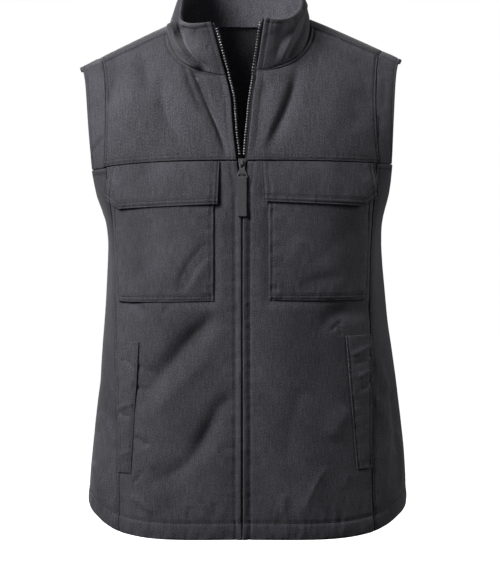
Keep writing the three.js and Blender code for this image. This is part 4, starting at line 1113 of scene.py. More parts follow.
def stretched_noise(nt, coord, scale, detail, seed):
    mapping = node(nt, "ShaderNodeMapping", Scale=scale, Location=(seed, seed * 0.7, 0))
    nt.links.new(coord, mapping.inputs["Vector"])
    tex = node(nt, "ShaderNodeTexNoise", Scale=1.0, Detail=detail, Roughness=0.6)
    nt.links.new(mapping.outputs["Vector"], tex.inputs["Vector"])
    return tex.outputs["Fac"]


def ramp(nt, value, stops):
    r = node(nt, "ShaderNodeValToRGB")
    el = r.color_ramp.elements
    while len(el) < len(stops):
        el.new(0.5)
    for e, (pos, colour) in zip(el, stops):
        e.position = pos
        e.color = (*colour, 1)
    nt.links.new(value, r.inputs["Fac"])
    return r.outputs["Color"]


def maths(nt, op, a, b):
    n = node(nt, "ShaderNodeMath", operation=op)
    for k, x in enumerate((a, b)):
        if isinstance(x, (int, float)):
            n.inputs[k].default_value = x
        else:
            nt.links.new(x, n.inputs[k])
    return n.outputs[0]


def bumped(nt, shader, height, strength, distance):
    bump = node(nt, "ShaderNodeBump", Strength=strength, Distance=distance)
    nt.links.new(height, bump.inputs["Height"])
    nt.links.new(bump.outputs["Normal"], shader.inputs["Normal"])


def weighted(nt, *terms):
    """Sum of values, each with a weight."""
    parts = [maths(nt, "MULTIPLY", value, weight) for value, weight in terms]
    total = parts[0]
    for part in parts[1:]:
        total = maths(nt, "ADD", total, part)
    return total


def times(colour, part):
    return tuple(c * part for c in colour)


WAVES_PER_UNIT = 20.0


def weave_height(nt, coord, across, up):
    """Plain weave: two sets of threads, a count per metre each way."""
    out = []
    for scale, direction in ((across, "X"), (up, "Y")):
        w = node(nt, "ShaderNodeTexWave", wave_type="BANDS", bands_direction=direction, wave_profile="SIN",
                 Scale=scale / WAVES_PER_UNIT, Distortion=0.6, Detail=1.0)
        nt.links.new(coord, w.inputs["Vector"])
        out.append(w.outputs["Fac"])
    return maths(nt, "MULTIPLY", *out)


# Canvas grain: cells per metre across, up and through, detail and seed
SLUB, MOTTLE, CLOUD = ((950, 640, 400), 2.0, 3.1), ((760, 60, 190), 2.0, 7.7), ((14, 10, 12), 3.0, 1.3)
SHADES = ((0.4, 0.4), (0.5, 1.0), (0.6, 1.75))  # value of the grain, part of the tint
WEAVE = (1100, 900)


def canvas(name, tint, painted_light_factor=1.0):
    nt, shader = new_material(name)
    coord = node(nt, "ShaderNodeTexCoord").outputs["UV"]
    slub, mottle, cloud = (stretched_noise(nt, coord, *grain) for grain in (SLUB, MOTTLE, CLOUD))
    mix = weighted(nt, (slub, 0.55), (mottle, 0.25), (cloud, 0.2))
    shades = [(at, times(tint, part * painted_light_factor)) for at, part in SHADES]
    nt.links.new(ramp(nt, mix, shades), shader.inputs["Base Color"])
    tall = weighted(nt, (weave_height(nt, coord, *WEAVE), 0.5), (slub, 0.9))
    bumped(nt, shader, tall, 0.35, 0.0004)
    rough = ramp(nt, mottle, ((0.3, (0.82,) * 3), (0.7, (0.96,) * 3)))
    nt.links.new(rough, shader.inputs["Roughness"])
    shader.inputs["Sheen Weight"].default_value = 0.12
    shader.inputs["Sheen Roughness"].default_value = 0.45
    shader.inputs["Specular IOR Level"].default_value = 0.25


CANVAS_TINT = (0.0455, 0.0446, 0.0528)
canvas("canvas", CANVAS_TINT)
# The inner faces take the same canvas at 1.5 times its tint: painted light in the interior, which the lamps
# barely reach
canvas("inside", CANVAS_TINT, painted_light_factor=1.5)


def plain(name, colour, rough, metal=0.0, grain=(900, 900, 900), spread=0.15):
    nt, shader = new_material(name)
    coord = node(nt, "ShaderNodeTexCoord").outputs["Object"]
    fac = stretched_noise(nt, coord, grain, 3.0, 2.0)
    low, high = times(colour, 1 - spread), times(colour, 1 + spread)
    nt.links.new(ramp(nt, fac, ((0.35, low), (0.65, high))), shader.inputs["Base Color"])
    rr = ramp(nt, fac, ((0.3, (rough * 0.85,) * 3), (0.7, (min(rough * 1.15, 1),) * 3)))
    nt.links.new(rr, shader.inputs["Roughness"])
    bumped(nt, shader, fac, 0.3, 0.0002)
    shader.inputs["Metallic"].default_value = metal
    return nt, shader


# Thread far darker than the canvas: partly its own dark colour, partly painted shade for the stitch
# grooves, which are too fine to shade on their own
plain("thread", (0.013, 0.013, 0.015), 0.7)
plain("zip_metal", (0.27, 0.27, 0.28), 0.42, metal=1.0, spread=0.25)
# Dark gunmetal: the own colour of the slider and tab, and painted shade on the closed chain
plain("zip_dark_metal", (0.085, 0.086, 0.092), 0.42, metal=0.55, grain=(1200, 1200, 1200), spread=0.3)
plain("zip_tape", (0.014, 0.014, 0.016), 0.85, grain=(1500, 1500, 300), spread=0.4)


def herringbone(name, colour, column, pitch):
    """Woven tape: slanting threads that turn back at every column, in the piece's own x and z."""
    nt, shader = plain(name, colour, 0.85, grain=(1500, 600, 700), spread=0.2)
    coord = node(nt, "ShaderNodeTexCoord").outputs["Object"]
    split = node(nt, "ShaderNodeSeparateXYZ")
    nt.links.new(coord, split.inputs[0])
    zigzag = maths(nt, "PINGPONG", split.outputs["X"], column)
    slant = maths(nt, "ADD", zigzag, split.outputs["Z"])
    thread = maths(nt, "SINE", maths(nt, "MULTIPLY", slant, 2 * math.pi / pitch), 0.0)
    tall = maths(nt, "ADD", maths(nt, "MULTIPLY", thread, 0.5), 0.5)
    shades = ((0.1, times(colour, 0.4)), (0.9, times(colour, 1.7)))
    nt.links.new(ramp(nt, tall, shades), shader.inputs["Base Color"])
    bumped(nt, shader, tall, 0.7, 0.0005)


herringbone("webbing", (0.046, 0.047, 0.052), column=2.9 * MM, pitch=2.4 * MM)


# Camera
camera = linked("camera", bpy.data.cameras.new("camera"))
camera.data.sensor_width = 36.0
camera.data.lens = VIEW_FOCAL / VIEW_LONG_SIDE * camera.data.sensor_width
camera.location = tuple(VIEW_AT * MM)
camera.rotation_euler = (QUARTER - VIEW_TILT, 0, 0)
camera.data.clip_start, camera.data.clip_end = 0.05, 60
SCENE.camera = camera


# Body pieces: width and height of each grid, and the steps between its points
SIZE = dict(front_panel=(172, 488), front_yoke=(165, 190), armhole_band_front=(27, 190),
            armhole_band_back=(27, 300), side_panel=(205, 400), chest_pocket=(140, 156),
            chest_flap=(152, 58), hand_welt=(30, 172), back=(400, 560), strap=(175, 230), collar=(300, 74))
FRONT_STEP, FAR_STEP, FINE_STEP = 2.2, 3.8, 1.8
PANEL_FILL, EDGING_FILL = 0.35, 0.3
# Radius and drop of the rounded edges
SEAM_EDGE, SHOULDER_EDGE, BAND_EDGE = (2.4, 2.3), (3.4, 3.4), (1.7, 1.4)
YOKE_EDGE, FREE_EDGE, ZIP_RIM = (1.1, 1.3), (2.4, 1.6), (1.6, 1.2)
POCKET_EDGE, WELT_EDGE = (1.6, 1.6), (1.0, 0.7)
# Distances of stitch lines from their edges
PLACKET, HEM_DEEP, NECK_ROW, FLAP_ROWS = 8.5, 23.0, 6.4, (2.0, 7.6)
PLACKET_END = 0.97  # part of the front edge's height
# The zip lifts the front edge, except between these heights beside the pull, where it dips
ZIP_LIFT, PULL_DIP, PULL_CLEAR = 2.4, 0.9, ((-265, -215), (-185, -165))
# Swell of the hem, depth and width of grooves
HEM_SWELL, HEM_GROOVE, PLACKET_GROOVE = 0.9, (0.8, 1.4), (0.6, 1.4)
CLOSING = 1.1  # the inner cloths of the fronts reach this far towards each other under the closed zip
# Yoke: raised foot, lift by the zip, distance, depth and width of the groove and roll at the neck seam
YOKE_RAISED, YOKE_FADE, YOKE_ZIP_LIFT = 0.9, (5, 13), 0.6
NECK_GROOVE, NECK_ROLL = (NECK_ROW, 1.6, 1.2), (3.2, -1.3, 2.0)
NECK_CALM = (0.35, 7)  # part of the folds' height at the neck seam, distance to their full height
BAND_TURN = 5.0
# Side panel: gain of its fold lines, the parts that face forward, and the most that it swells
SIDE_FOLDS, SIDE_FACING, SIDE_CAP = 1.6, (0.02, 0.3), 1.2
# The front lies flat beside pockets, flaps and welts, and is sunk under them
COVER_TOP, COVER_SIDE = -180, 185
COVER_WIDER, COVER_FLAT, COVER_SUNK = (14, 16), 0.2, 1.3
# Sewn patches: lower face as parts of the gap and of the swell, the pocket's form, the welt's height
UNDERSIDE, UNDER_SWELL = 0.6, 0.9
POCKET_ROUND, POCKET_FLOOR, WELT_TOP = 0.8, -0.5, 1.6
# The flap stands off towards its foot, and its outer end curls out
FLAP_FREE, FLAP_TIP, FLAP_CURL = 0.9, 0.6, (2, 30)
FLAP_FOLDS, FLAP_CALM = 0.7, (4, 22)
SEEDS = dict(right=100, left=500)


def raised_edge(grid):
    """The zip under the front edge lifts it, down to the stitch line beside it, but not beside the pull."""
    below, above = (smoothstep(grid.base[..., 2], *span) for span in PULL_CLEAR)
    clear = above + 1 - below
    return (ZIP_LIFT * clear - PULL_DIP * (1 - clear)) * (1 - smoothstep(grid.off["inner"], 0, PLACKET + 1))


def hem_band(d):
    """The hem is turned up and stitched: a soft band with a sharp line above it."""
    return HEM_SWELL * np.sin(np.pi * np.clip(d / HEM_DEEP, 0, 1)) + groove(d, HEM_DEEP, *HEM_GROOVE)


def wall_beside(gap, full):
    return lerp(EDGE_WALL, full, smoothstep(gap, EDGE_FLAT, EDGE_FADE))


def add_piece(ob, node_name, body_name="vest"):
    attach(ob, body_name)
    if node_name:
        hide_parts(node_name)
    return ob


def cloth_piece(kind, side, grid, wall, fill=None, **layers):
    ob = cloth_object(f"{kind}_cloth_{side}", grid, wall, GRAIN_SHIFT.get(kind, 0), **layers)
    return add_piece(ob, f"{kind}_{side}")


def covered(grid, side, wider=0.0, soft=4.0):
    """Part of the front that lies under a pocket, flap or welt, or within a distance of one."""
    x, z = np.abs(grid.base[..., 0]), grid.base[..., 2]
    p, f, w = (pieces[side.name] for pieces in (POCKET, FLAP, WELT))

    def within(a, low, high):
        low, high = low + 1 - wider, high - 1 + wider
        return smoothstep(a, low, low + soft) * (1 - smoothstep(a, high - soft, high))

    welt_x = lerp(w["inner_foot"], w["inner_top"], (z - w["foot"]) / (w["top"] - w["foot"]))
    patches = (
        (p["inner"], p["outer_top"], p["foot"], COVER_TOP),
        (f["inner"], f["outer"], f["foot"], COVER_TOP),
        (welt_x, COVER_SIDE, w["foot"], w["top"]),
    )
    return np.maximum.reduce([within(x, x0, x1) * within(z, z0, z1) for x0, x1, z0, z1 in patches])


for side in SIDES:
    s = side.name
    seed = SEEDS[s]
    sewn = "stitches_front_" + s

    g = Grid.on_body(front_panel_place(side), *SIZE["front_panel"], FRONT_STEP, FOLD_LINES["front"])
    settle(g)
    dress(g, dict(inner=(*ZIP_RIM, (PLACKET,), 0.5), outer=(*SEAM_EDGE, (), 0.6),
                  foot=(*FREE_EDGE, (HEM_DEEP,), 0.8), top=(*YOKE_EDGE, (), 0.3)), seed)
    g.height = lerp(g.height, np.minimum(g.height, COVER_FLAT), covered(g, side, *COVER_WIDER))
    g.height += raised_edge(g) + hem_band(g.off["foot"]) + groove(g.off["inner"], PLACKET, *PLACKET_GROOVE)
    g.height -= COVER_SUNK * covered(g, side)
    g.set()
    cloth_piece("front_panel", s, g, wall_beside(g.off["inner"], PADDED_WALL), PANEL_FILL,
                closing=CLOSING, seams=("outer", "top"))
    sew(sewn, g, "inner", PLACKET, 0.0, PLACKET_END)
    sew_rows(sewn, g, ("foot",))

    g = Grid.on_body(front_yoke_place(side), *SIZE["front_yoke"], FINE_STEP, FOLD_LINES["yoke"])
    inner, low = g.off["inner"], g.v < YOKE_CORNER
    g.height *= np.where(low, 1, lerp(NECK_CALM[0], 1, smoothstep(inner, 0, NECK_CALM[1])))
    settle(g)
    dress(g, dict(inner=(1.8, 1.4, (), 0.25), outer=(*BAND_EDGE, (3.5,), 0.3),
                  foot=(*YOKE_EDGE, (2.2, 7.5), 0.3), top=(*SHOULDER_EDGE, (4.5,), 0.25)), seed + 40)
    g.height += YOKE_RAISED * (1 - smoothstep(g.off["foot"], *YOKE_FADE))
    g.height += np.where(low, groove(inner, PLACKET) + YOKE_ZIP_LIFT * raised_edge(g),
                         groove(inner, *NECK_GROOVE) + groove(inner, *NECK_ROLL))
    g.set()
    wall = np.where(g.v > FULL_WALL_FROM, PADDED_WALL, wall_beside(inner, PADDED_WALL))
    cloth_piece("front_yoke", s, g, wall, PANEL_FILL, upright=True, seams=("foot", "outer", "top"))
    sew_rows(sewn, g)
    sew(sewn, g, "inner", PLACKET, 0.0, YOKE_CORNER)
    sew(sewn, g, "inner", NECK_ROW, NECK_ROW_FROM, 1.0)

    for n, kind in enumerate(("armhole_band_front", "armhole_band_back")):
        g = Grid.on_body(band_place(side, n == 1), *SIZE[kind], FRONT_STEP, () if n else FOLD_LINES["band"])
        dress(g, dict(inner=(*BAND_EDGE, (), 0.25), outer=(*FREE_EDGE, (5,), 0.35),
                      foot=(*SEAM_EDGE, (), 0.2), top=(*SEAM_EDGE, (), 0.2)),
              seed + 60 + n, crown=0.4, wave=0.4)
        g.set()
        cloth_piece(kind, s, g, PADDED_WALL, EDGING_FILL, turned_in=BAND_TURN, seams=("inner", "top"))
        sew_rows("stitches_band_" + s, g)

    g = Grid.on_body(side_panel_place(side), *SIZE["side_panel"], FAR_STEP, FOLD_LINES["side"])
    g.height = SIDE_FOLDS * g.height * smoothstep(-g.normal[..., 1], *SIDE_FACING)
    settle(g, cap=SIDE_CAP)
    dress(g, dict(inner=(*SEAM_EDGE, (4,), 0.35), outer=(*SEAM_EDGE, (4,), 0.35),
                  foot=(*FREE_EDGE, (HEM_DEEP,), 0.5), top=(*FREE_EDGE, (6,), 0.3)), seed + 80)
    g.height += hem_band(g.off["foot"])
    g.set()
    cloth_piece("side_panel", s, g, PADDED_WALL, PANEL_FILL, seams=("inner", "outer"))
    sew_rows("stitches_side_" + s, g)

    # Chest pocket
    g = Grid.on_body(pocket_place(side), *SIZE["chest_pocket"], FRONT_STEP, FOLD_LINES["pocket"])
    uu, vv = np.meshgrid(g.u, g.v, indexing="ij")
    swell = POCKET_SWELL[s] * np.sin(np.pi * uu) * np.sin(np.pi * vv ** POCKET_ROUND)
    g.height = LAY + PATCH_WALL + np.maximum(swell + g.height * np.sin(np.pi * uu) ** 0.5, POCKET_FLOOR)
    dress(g, dict(inner=(*POCKET_EDGE, (4,), 0.85), outer=(*POCKET_EDGE, (4,), 0.85),
                  foot=(1.4, 1.0, (1.8, 7), 0.6)), seed + 20, crown=0.3, wave=0.5)
    g.set()
    ob = cloth_piece("chest_pocket", s, g, -(LAY * UNDERSIDE + swell * UNDER_SWELL))
    sew_rows("stitches_pocket_" + s, g)

    # Chest flap
    g = Grid.on_body(flap_place(side), *SIZE["chest_flap"], FRONT_STEP, FOLD_LINES["flap"])
    uu, vv = np.meshgrid(g.u, g.v, indexing="ij")
    _, top, z = flap_drop(side, uu, vv)
    lift = LAY + (FLAP_STAND - LAY) * np.clip((top - z) / (top - FLAP[s]["foot"]), 0, 1) ** FLAP_FREE
    tip = np.clip((uu - FLAP_TIP) / (1 - FLAP_TIP), 0, 1) ** 2
    lift = lift + FLAP_OUT[s] * tip * smoothstep(top - z, *FLAP_CURL)
    g.height = lift + PATCH_WALL + FLAP_FOLDS * g.height * smoothstep(top - z, *FLAP_CALM)
    dress(g, dict(inner=(1.4, 1.0, FLAP_ROWS, 0.45), outer=(1.0, 0.8, FLAP_ROWS, 0.45),
                  foot=(1.2, 1.0, FLAP_ROWS, 0.5)), seed + 25, crown=0.3, wave=0.3, deep=1.4)
    g.set()
    ob = cloth_piece("chest_flap", s, g, -lift)
    sew_rows("stitches_flap_" + s, g)

    # Hand-pocket welt
    g = Grid.on_body(welt_place(side), *SIZE["hand_welt"], FRONT_STEP, FOLD_LINES["welt"])
    g.height = g.height + WELT_TOP
    dress(g, dict(inner=(*WELT_EDGE, (2.6,), 0.6), outer=(*WELT_EDGE, (3.5,), 0.5),
                  foot=(*WELT_EDGE, (), 0.25), top=(*WELT_EDGE, (), 0.25)), seed + 30, crown=0.6, wave=0.4)
    g.set()
    ob = cloth_piece("hand_welt", s, g, -LAY * UNDERSIDE)
    sew_rows("stitches_welt_" + s, g)


# Back: the lower part and the two straps share their points where they meet
BACK_CALM, BACK_SEED, JOIN_UNDER = 60, 900, 2e-5


def back_piece():
    offset, points, faces, uvs, inside = 0, [], [], [], []
    for n, place in enumerate((back_lower_place, *map(strap_place, SIDES))):
        g = Grid.on_body(place, *SIZE["strap" if n else "back"], FAR_STEP)
        if n:
            edges = dict(inner=(*SEAM_EDGE, (), 0.25), outer=(*SEAM_EDGE, (3.5,), 0.3),
                         top=(*SEAM_EDGE, (3,), 0.25))
            g.open, seams = ("foot",), ("outer", "top")
        else:
            edges = dict(inner=(*SEAM_EDGE, (), 0.3), outer=(*SEAM_EDGE, (), 0.3),
                         foot=(*FREE_EDGE, (HEM_DEEP,), 0.45))
            g.open, seams = ("top",), ("inner", "outer")
            settle(g, loose=("top",))
            g.height *= smoothstep(g.off["top"], 0, BACK_CALM)
        dress(g, edges, BACK_SEED + 20 * n, crown=0.0, wave=0.0)
        g.set()
        nu, nv = g.base.shape[:2]
        parts = {k: f for k, f in shell_faces(nu, nv, offset).items() if k not in g.open}
        mine = np.concatenate(list(parts.values()))
        if n == 1:
            mine = mine[:, ::-1]
        faces.append(mine)
        inside.append(np.concatenate([np.full(len(f), k == "inner") for k, f in parts.items()]))
        points.append(two_layers(g, PADDED_WALL, seams=seams))
        uvs.append(grid_uv(g, GRAIN_SHIFT["back"], upright=True))
        offset += 2 * nu * nv
        sew_rows("stitches_back", g)
    ob = mesh_object("back_panel_cloth", np.concatenate(points), np.concatenate(faces), np.concatenate(uvs),
                     (MAT["canvas"], MAT["inside"]), np.concatenate(inside))
    bm = bmesh.new()
    bm.from_mesh(ob.data)
    bmesh.ops.remove_doubles(bm, verts=bm.verts, dist=JOIN_UNDER)
    bm.to_mesh(ob.data)
    bm.free()
    return ob


add_piece(back_piece(), "back_panel")


# Collar
COLLAR_TURN = 7.0  # its inner cloth reaches this far down over the neck seam
COLLAR_FOOT = 0.006  # part of its height at which it begins, clear of the neck seam
COLLAR_NAPE = 0.985  # the last columns before the nape, close together at an edge, are left out
COLLAR_FACING, COLLAR_ENDS, COLLAR_LOW, COLLAR_HIGH = (0.05, 0.35), (4, 14), (0.5, 9), (1, 5)
COLLAR_ROW, COLLAR_CAP, COLLAR_SEED = (6,), 1.5, 77


def collar_piece():
    around, tall = SIZE["collar"]
    part = spacing(around, FINE_STEP)
    part = part[part <= COLLAR_NAPE]
    up = spacing(tall, FINE_STEP)
    bases, normals = [], []
    for side in SIDES:
        turns = lerp(front_turn(side), 180, part / part[-1])
        tt, rr = np.meshgrid(turns, lerp(COLLAR_FOOT, 1.0, up), indexing="ij")
        b, n = collar_point(side, tt, rr), collar_normal(side, tt, rr)
        if side is LEFT:
            b, n = b[::-1][1:], n[::-1][1:]
        bases.append(b)
        normals.append(n)
    base, normal = np.concatenate(bases), np.concatenate(normals)
    g = Grid(base, normal, np.linspace(0, 1, base.shape[0]), up)
    gap = np.minimum(g.off["inner"], g.off["outer"])
    facing = smoothstep(-normal[..., 1], *COLLAR_FACING)
    g.height = crease_at(base, FOLD_LINES["collar"]) * facing * smoothstep(gap, *COLLAR_ENDS)
    g.height *= smoothstep(g.off["foot"], *COLLAR_LOW) * smoothstep(g.off["top"], *COLLAR_HIGH)
    settle(g, cap=COLLAR_CAP)
    dress(g, dict(inner=(*ZIP_RIM, COLLAR_ROW, 0.25), outer=(*ZIP_RIM, COLLAR_ROW, 0.25),
                  foot=(1.8, 1.5, (), 0.3), top=(2.2, 1.8, COLLAR_ROW, 0.3)),
          COLLAR_SEED, crown=0.5, wave=0.5)
    g.set()
    sew_rows("stitches_collar", g)
    wall = wall_beside(gap, COLLAR_WALL)
    return cloth_object("collar_cloth", g, wall, GRAIN_SHIFT["collar"], turned_in=COLLAR_TURN)


add_piece(collar_piece(), "collar")

for group in sorted(thread_runs):
    add_piece(thread_object(group), None)

# Zip: separate rounded teeth on woven tapes, a pierced tab and a loop of tape
TOOTH = dict(pitch=3.6, half_high=0.95, root=3.1, tip=6.4, front=1.9, back=4.8, foot_z=-180.0)
TOOTH_RINGS = ((0.0, 0.62), (0.12, 0.88), (0.35, 1.0), (1.0, 1.0))  # part of the depth, part of the size
TOOTH_CORNERS = ((1, 0.5), (0.6, 1), (-0.6, 1), (-1, 0.5), (-1, -0.5), (-0.6, -1), (0.6, -1), (1, -0.5))
TOOTH_CAPS = ((0, 1, 2, 3), (0, 3, 4, 7), (4, 5, 6, 7))
TAPE = dict(foot_z=-672.0, hidden=7.0, shows=3.0, chain_half=3.2, depth=4.1, wall=1.0, ease=4.0,
            ease_run=16.0, step=3, rib=0.22)
RIB_FROM = 0.75  # part of the tape's width where its ribbed edge begins
EDGE_STEP, EDGE_SMOOTH = 1.7, 7
TOOTH_SHARP, BEVEL_FROM = math.radians(50), math.radians(35)
COLLAR_EDGE = np.linspace(0.06, 0.97, 40)  # parts of the collar's height
TOOTH_END = 4  # the teeth stop this far from the upper end of the edge


def edge_stations(side, foot_z):
    """Front edge up to the top of the collar: points, normals, running length, length at the neck."""
    turn = front_turn(side)
    neck_x, neck_level, _ = neck_seam(side, turn)
    neck_z = float(height_at(neck_x, neck_level))
    z = np.linspace(foot_z, neck_z, max(int((neck_z - foot_z) / EDGE_STEP), 2))[:-1]
    around, level = front_at(side.sign * zip_edge(side, z), z)
    turns = np.full(len(COLLAR_EDGE), turn)
    points = np.concatenate([body(around, level), collar_point(side, turns, COLLAR_EDGE)])
    normals = np.concatenate([body_normal(around, level), collar_normal(side, turns, COLLAR_EDGE)])
    smooth = np.ones(EDGE_SMOOTH) / EDGE_SMOOTH
    pad = lambda a: np.pad(a, EDGE_SMOOTH // 2, "edge")
    normals = unit(np.stack([np.convolve(pad(normals[:, k]), smooth, "valid") for k in range(3)], 1))
    run = lengths(points)
    return points, normals, run, run[len(z)]


def edge_frame(side, stations, at):
    """Points, outward normals, directions up the edge and towards the opening at running lengths."""
    (points, normals, run, _), step = stations, 2
    normal = unit(at_lengths(normals, run, at))
    tangent = unit(at_lengths(points, run, at + step) - at_lengths(points, run, at - step))
    return at_lengths(points, run, at), normal, tangent, unit(np.cross(normal, tangent)) * side.sign


def tape_object(side):
    stations = edge_stations(side, TAPE["foot_z"])
    run, neck = stations[2], stations[3]
    at = np.linspace(0, run[-1], int(run[-1] / TAPE["step"]))
    centre, normal, _, inwards = edge_frame(side, stations, at)
    shows = np.minimum(TAPE["shows"], np.abs(centre[:, 0]) - TAPE["chain_half"] - SEAM_HALF)
    across = np.concatenate([np.linspace(0, RIB_FROM, 6), [0.82, 0.88, 0.94, 1.0]])
    reach = lerp(-TAPE["hidden"], shows[:, None], across[None])
    ribbed = TAPE["rib"] * np.sin(np.pi * np.clip((across - RIB_FROM) / (1 - RIB_FROM), 0, 1))
    depth = TAPE["depth"] + TAPE["ease"] * np.exp(-(((at - neck) / TAPE["ease_run"]) ** 2))
    face = centre[:, None] + inwards[:, None] * reach[..., None]
    outer = face - normal[:, None] * (depth[:, None] - ribbed[None])[..., None]
    inner = face - normal[:, None] * (depth + TAPE["wall"])[:, None, None]
    points = np.concatenate([outer.reshape(-1, 3), inner.reshape(-1, 3)])
    faces = np.concatenate(list(shell_faces(len(at), len(across)).values()))
    width = TAPE["hidden"] + shows
    area = float(((width[1:] + width[:-1]) / 2 * np.diff(at)).sum()) * MM * MM
    ob = mesh_object("zip_tape_woven_" + side.name, points, faces, None, (MAT["zip_tape"],))
    add_piece(ob, "zip_tape_" + side.name)


def teeth_object(side):
    stations = edge_stations(side, TOOTH["foot_z"])
    count = int((stations[2][-1] - TOOTH_END) / TOOTH["pitch"])
    at = (np.arange(count) + 0.5) * TOOTH["pitch"]
    centre, normal, tangent, inwards = edge_frame(side, stations, at)
    middle, half = (TOOTH["root"] + TOOTH["tip"]) / 2, (TOOTH["tip"] - TOOTH["root"]) / 2
    rings = []
    for part, size in TOOTH_RINGS:
        sunk = centre - normal * lerp(TOOTH["front"], TOOTH["back"], part)
        rings.append(np.stack([
            sunk + inwards * (middle + half * size * a) + tangent * (TOOTH["half_high"] * size * b)
            for a, b in TOOTH_CORNERS], 1))
    p = np.stack(rings, 1)
    faces = ring_faces(*p.shape[:3], TOOTH_CAPS)
    name = "zip_teeth_metal_" + side.name
    return mesh_object(name, p.reshape(-1, 3), faces, None, (MAT["zip_metal"],))


for side in SIDES:
    ob = add_piece(teeth_object(side), "zip_teeth_" + side.name)
    ob.modifiers.new("edges", "EDGE_SPLIT").split_angle = TOOTH_SHARP

for side in SIDES:
    tape_object(side)

# The pull hangs from the slider: x across, y outwards negative, z up from its hinge
PULL_AT = np.array([0.0, -132.074, -190.747])
PULL_LEAN = math.radians(-10)
TAB_WALL = 1.4
TAB_EDGE = 0.25  # radius of the tab's rounded edges
TAB_HALF = ((-3.2, 0.8), (-3.4, 0.2), (-3.4, -7.0), (-4.0, -9.4), (-6.5, -15.2), (-7.0, -16.8),
            (-7.0, -18.6), (-5.8, -20.0))
TAB_WINDOW = ((-1.8, -0.8), (1.8, -0.8), (1.8, -5.0), (1.1, -5.9), (-1.1, -5.9), (-1.8, -5.0))
SLOT_HALF = ((-5.2, -17.9), (-5.2, -16.2), (-4.0, -14.5), (-2.0, -13.5))
mirrored = lambda half: tuple((-x, z) for x, z in half[::-1])
TAB_OUTLINE = TAB_HALF + mirrored(TAB_HALF)
TAB_SLOT = SLOT_HALF + ((0, -13.2),) + mirrored(SLOT_HALF)
LOOP_HALF, LOOP_WALL = 5.8, 0.7
LOOP_FOOT, LOOP_TOP = -68.5, -17.2
LOOP_PART = ((-0.38, LOOP_FOOT), (-0.38, -54), (-0.38, -40), (-0.45, -29), (-0.85, -24.5), (-1.2, -21.3),
             (-1.35, -19.2), (-1.05, -17.8))
LOOP_PATH = LOOP_PART + ((0, LOOP_TOP),) + mirrored(LOOP_PART)
LOOP_BEND, LOOP_STRAIGHT = 1.8, 22  # the tape's free end leans back to the cloth, from this depth on
LOOP_STEP, LOOP_EYE = 1.2, (4, 12, 40)  # points of the path between which it turns, and how finely
LOOP_RIM, LOOP_THIN = 0.9, 0.75
# Uneven edges of the tape: reach, length, distance between the two edges' noise, seed
WANDER, WANDER_LONG, WANDER_APART, WANDER_SEED = 0.18, 6, 2.5, 61


def hung(p):
    c, s = math.cos(PULL_LEAN), math.sin(PULL_LEAN)
    x, y, z = p[..., 0], p[..., 1], p[..., 2]
    return PULL_AT + np.stack([x, y * c - z * s, y * s + z * c], -1)


WELD_UNDER = 2e-6


def welded(ob):
    ob.modifiers.new("weld", "WELD").merge_threshold = WELD_UNDER
    return ob


def tab_object():
    curve = bpy.data.curves.new("tab", "CURVE")
    curve.dimensions, curve.fill_mode = "2D", "BOTH"
    curve.extrude, curve.bevel_depth, curve.bevel_resolution = TAB_WALL / 2 - TAB_EDGE, TAB_EDGE, 2
    curve.offset = -TAB_EDGE
    for outline in (TAB_OUTLINE, TAB_WINDOW, TAB_SLOT):
        spline = curve.splines.new("POLY")
        spline.points.add(len(outline) - 1)
        for point, (x, z) in zip(spline.points, outline):
            point.co = (x, z, 0, 1)
        spline.use_cyclic_u = True
    flat = linked("tab", curve)
    me = bpy.data.meshes.new_from_object(flat.evaluated_get(bpy.context.evaluated_depsgraph_get()))
    bpy.data.objects.remove(flat)
    bpy.data.curves.remove(curve)
    p = np.empty(3 * len(me.vertices), np.float32)
    me.vertices.foreach_get("co", p)
    p = p.reshape(-1, 3).astype(float)
    p = hung(np.stack([p[:, 0], -p[:, 2], p[:, 1]], -1))
    me.vertices.foreach_set("co", (p * MM).astype(np.float32).ravel())
    me.name = "zip_pull_plate"
    me.materials.clear()
    me.materials.append(MAT["zip_dark_metal"])
    return welded(linked("zip_pull_plate", me))


def loop_object():
    path = np.array(LOOP_PATH)
    s = lengths(path)
    first, last, count = LOOP_EYE
    eye = np.linspace(s[first], s[last], count)
    at = np.unique(np.concatenate([np.arange(0, s[-1], LOOP_STEP), [s[-1]], eye]))
    yz = np.stack([between(s, c, at) for c in path.T], -1)
    yz[:, 0] += LOOP_BEND * smoothstep(-yz[:, 1], LOOP_STRAIGHT, -LOOP_FOOT)
    ahead = unit(np.gradient(yz, at, axis=0))
    out = np.stack([-ahead[:, 1], ahead[:, 0]], -1)
    across = np.concatenate([[-1, -0.97, -0.9], np.linspace(-0.75, 0.75, 9), [0.9, 0.97, 1]])
    rim_part = np.clip((np.abs(across) - LOOP_RIM) / (1 - LOOP_RIM), 0, 1)
    thin = np.sqrt(1 - rim_part ** 2 * LOOP_THIN)
    wander = WANDER * noise(at[:, None] / WANDER_LONG, WANDER_APART * np.sign(across)[None], WANDER_SEED)
    x = LOOP_HALF * across[None] + wander * np.abs(across)[None]
    layers = []
    for face in (0.5, -0.5):
        shift = out[:, None] * (face * LOOP_WALL * thin[None])[..., None]
        y, z = yz[:, None, 0] + shift[..., 0], yz[:, None, 1] + shift[..., 1]
        layers.append(hung(np.stack([x, y, z], -1)).reshape(-1, 3))
    faces = np.concatenate(list(shell_faces(len(at), len(across)).values()))
    ob = mesh_object("zip_pull_webbing", np.concatenate(layers), faces, None, (MAT["webbing"],))
    return ob, float(s[-1])


add_piece(tab_object(), "zip_pull_tab", "zip_pull")
ob, loop_long = loop_object()
add_piece(ob, "zip_pull_tape", "zip_pull")

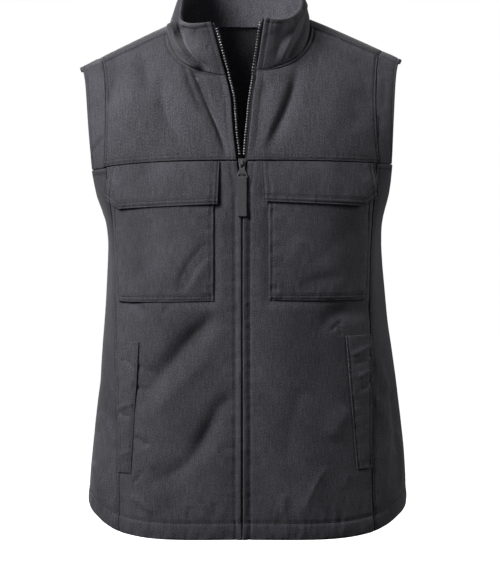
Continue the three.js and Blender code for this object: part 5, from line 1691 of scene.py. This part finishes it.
# The slider keeps its own dark gunmetal; the closed chain takes the same dark metal instead of the teeth's
# silver, as painted shade in the gap between the front edges
ZIP_BEVELS = dict(zip_chain_closed=0.3, zip_slider=0.45)
for name, width in ZIP_BEVELS.items():
    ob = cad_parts[name]
    ob.data.materials.clear()
    ob.data.materials.append(MAT["zip_dark_metal"])
    bevel = welded(ob).modifiers.new("bevel", "BEVEL")
    bevel.width = width * MM
    bevel.segments = 2
    bevel.limit_method = "ANGLE"
    bevel.angle_limit = BEVEL_FROM


# Floor and light
FLOOR_Z = -1.15
FLOOR = dict(left=-7.0, right=7.0, front=-1.2, back=10.0)
floor_mesh = bpy.data.meshes.new("floor")
corners = [(FLOOR["left"], FLOOR["front"]), (FLOOR["right"], FLOOR["front"]),
           (FLOOR["right"], FLOOR["back"]), (FLOOR["left"], FLOOR["back"])]
floor_mesh.from_pydata([(x, y, FLOOR_Z) for x, y in corners], [], [(0, 1, 2, 3)])
floor = linked("floor", floor_mesh)
_, floor_shader = plain("floor", (0.9, 0.9, 0.9), 0.9, grain=(2, 2, 2), spread=0.01)
floor_shader.inputs["Emission Color"].default_value = (1, 1, 1, 1)
floor_shader.inputs["Emission Strength"].default_value = 0.95
floor.data.materials.append(MAT["floor"])
floor.visible_diffuse = floor.visible_glossy = False
floor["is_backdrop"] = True

world = bpy.data.worlds.new("studio")
SCENE.world = world
world.use_nodes = True
wn = world.node_tree
sky = wn.nodes["Background"]
sky.inputs["Color"].default_value = (1, 1, 1, 1)
sky.inputs["Strength"].default_value = 0.06
backdrop = node(wn, "ShaderNodeBackground", Color=(1, 1, 1, 1), Strength=1.0)
rays, both = node(wn, "ShaderNodeLightPath"), node(wn, "ShaderNodeMixShader")
wn.links.new(rays.outputs["Is Camera Ray"], both.inputs["Fac"])
wn.links.new(sky.outputs["Background"], both.inputs[1])
wn.links.new(backdrop.outputs["Background"], both.inputs[2])
wn.links.new(both.outputs["Shader"], wn.nodes["World Output"].inputs["Surface"])

LIGHTS = {
    "key": dict(at=(-1.27, -1.07, 0.85), aim=(0, -0.1, -0.25), size=0.75, power=64),
    "edge": dict(at=(2.2, 0.2, 0.4), aim=(0, -0.1, -0.25), size=0.8, power=20),
    "fill": dict(at=(0.9, -2.8, 0.2), aim=(0, 0, -0.35), size=2.0, power=2),
    "behind": dict(at=(-0.9, 2.4, 1.1), aim=(0, 0.1, -0.3), size=1.2, power=45),
}
for name, spec in LIGHTS.items():
    lamp = bpy.data.lights.new(name, "AREA")
    lamp.energy, lamp.size = spec["power"], spec["size"]
    ob = linked(name, lamp)
    ob.location = spec["at"]
    ob.rotation_euler = (Vector(spec["aim"]) - Vector(spec["at"])).to_track_quat("-Z", "Y").to_euler()

SCENE.view_settings.view_transform = "Standard"

low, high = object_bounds()
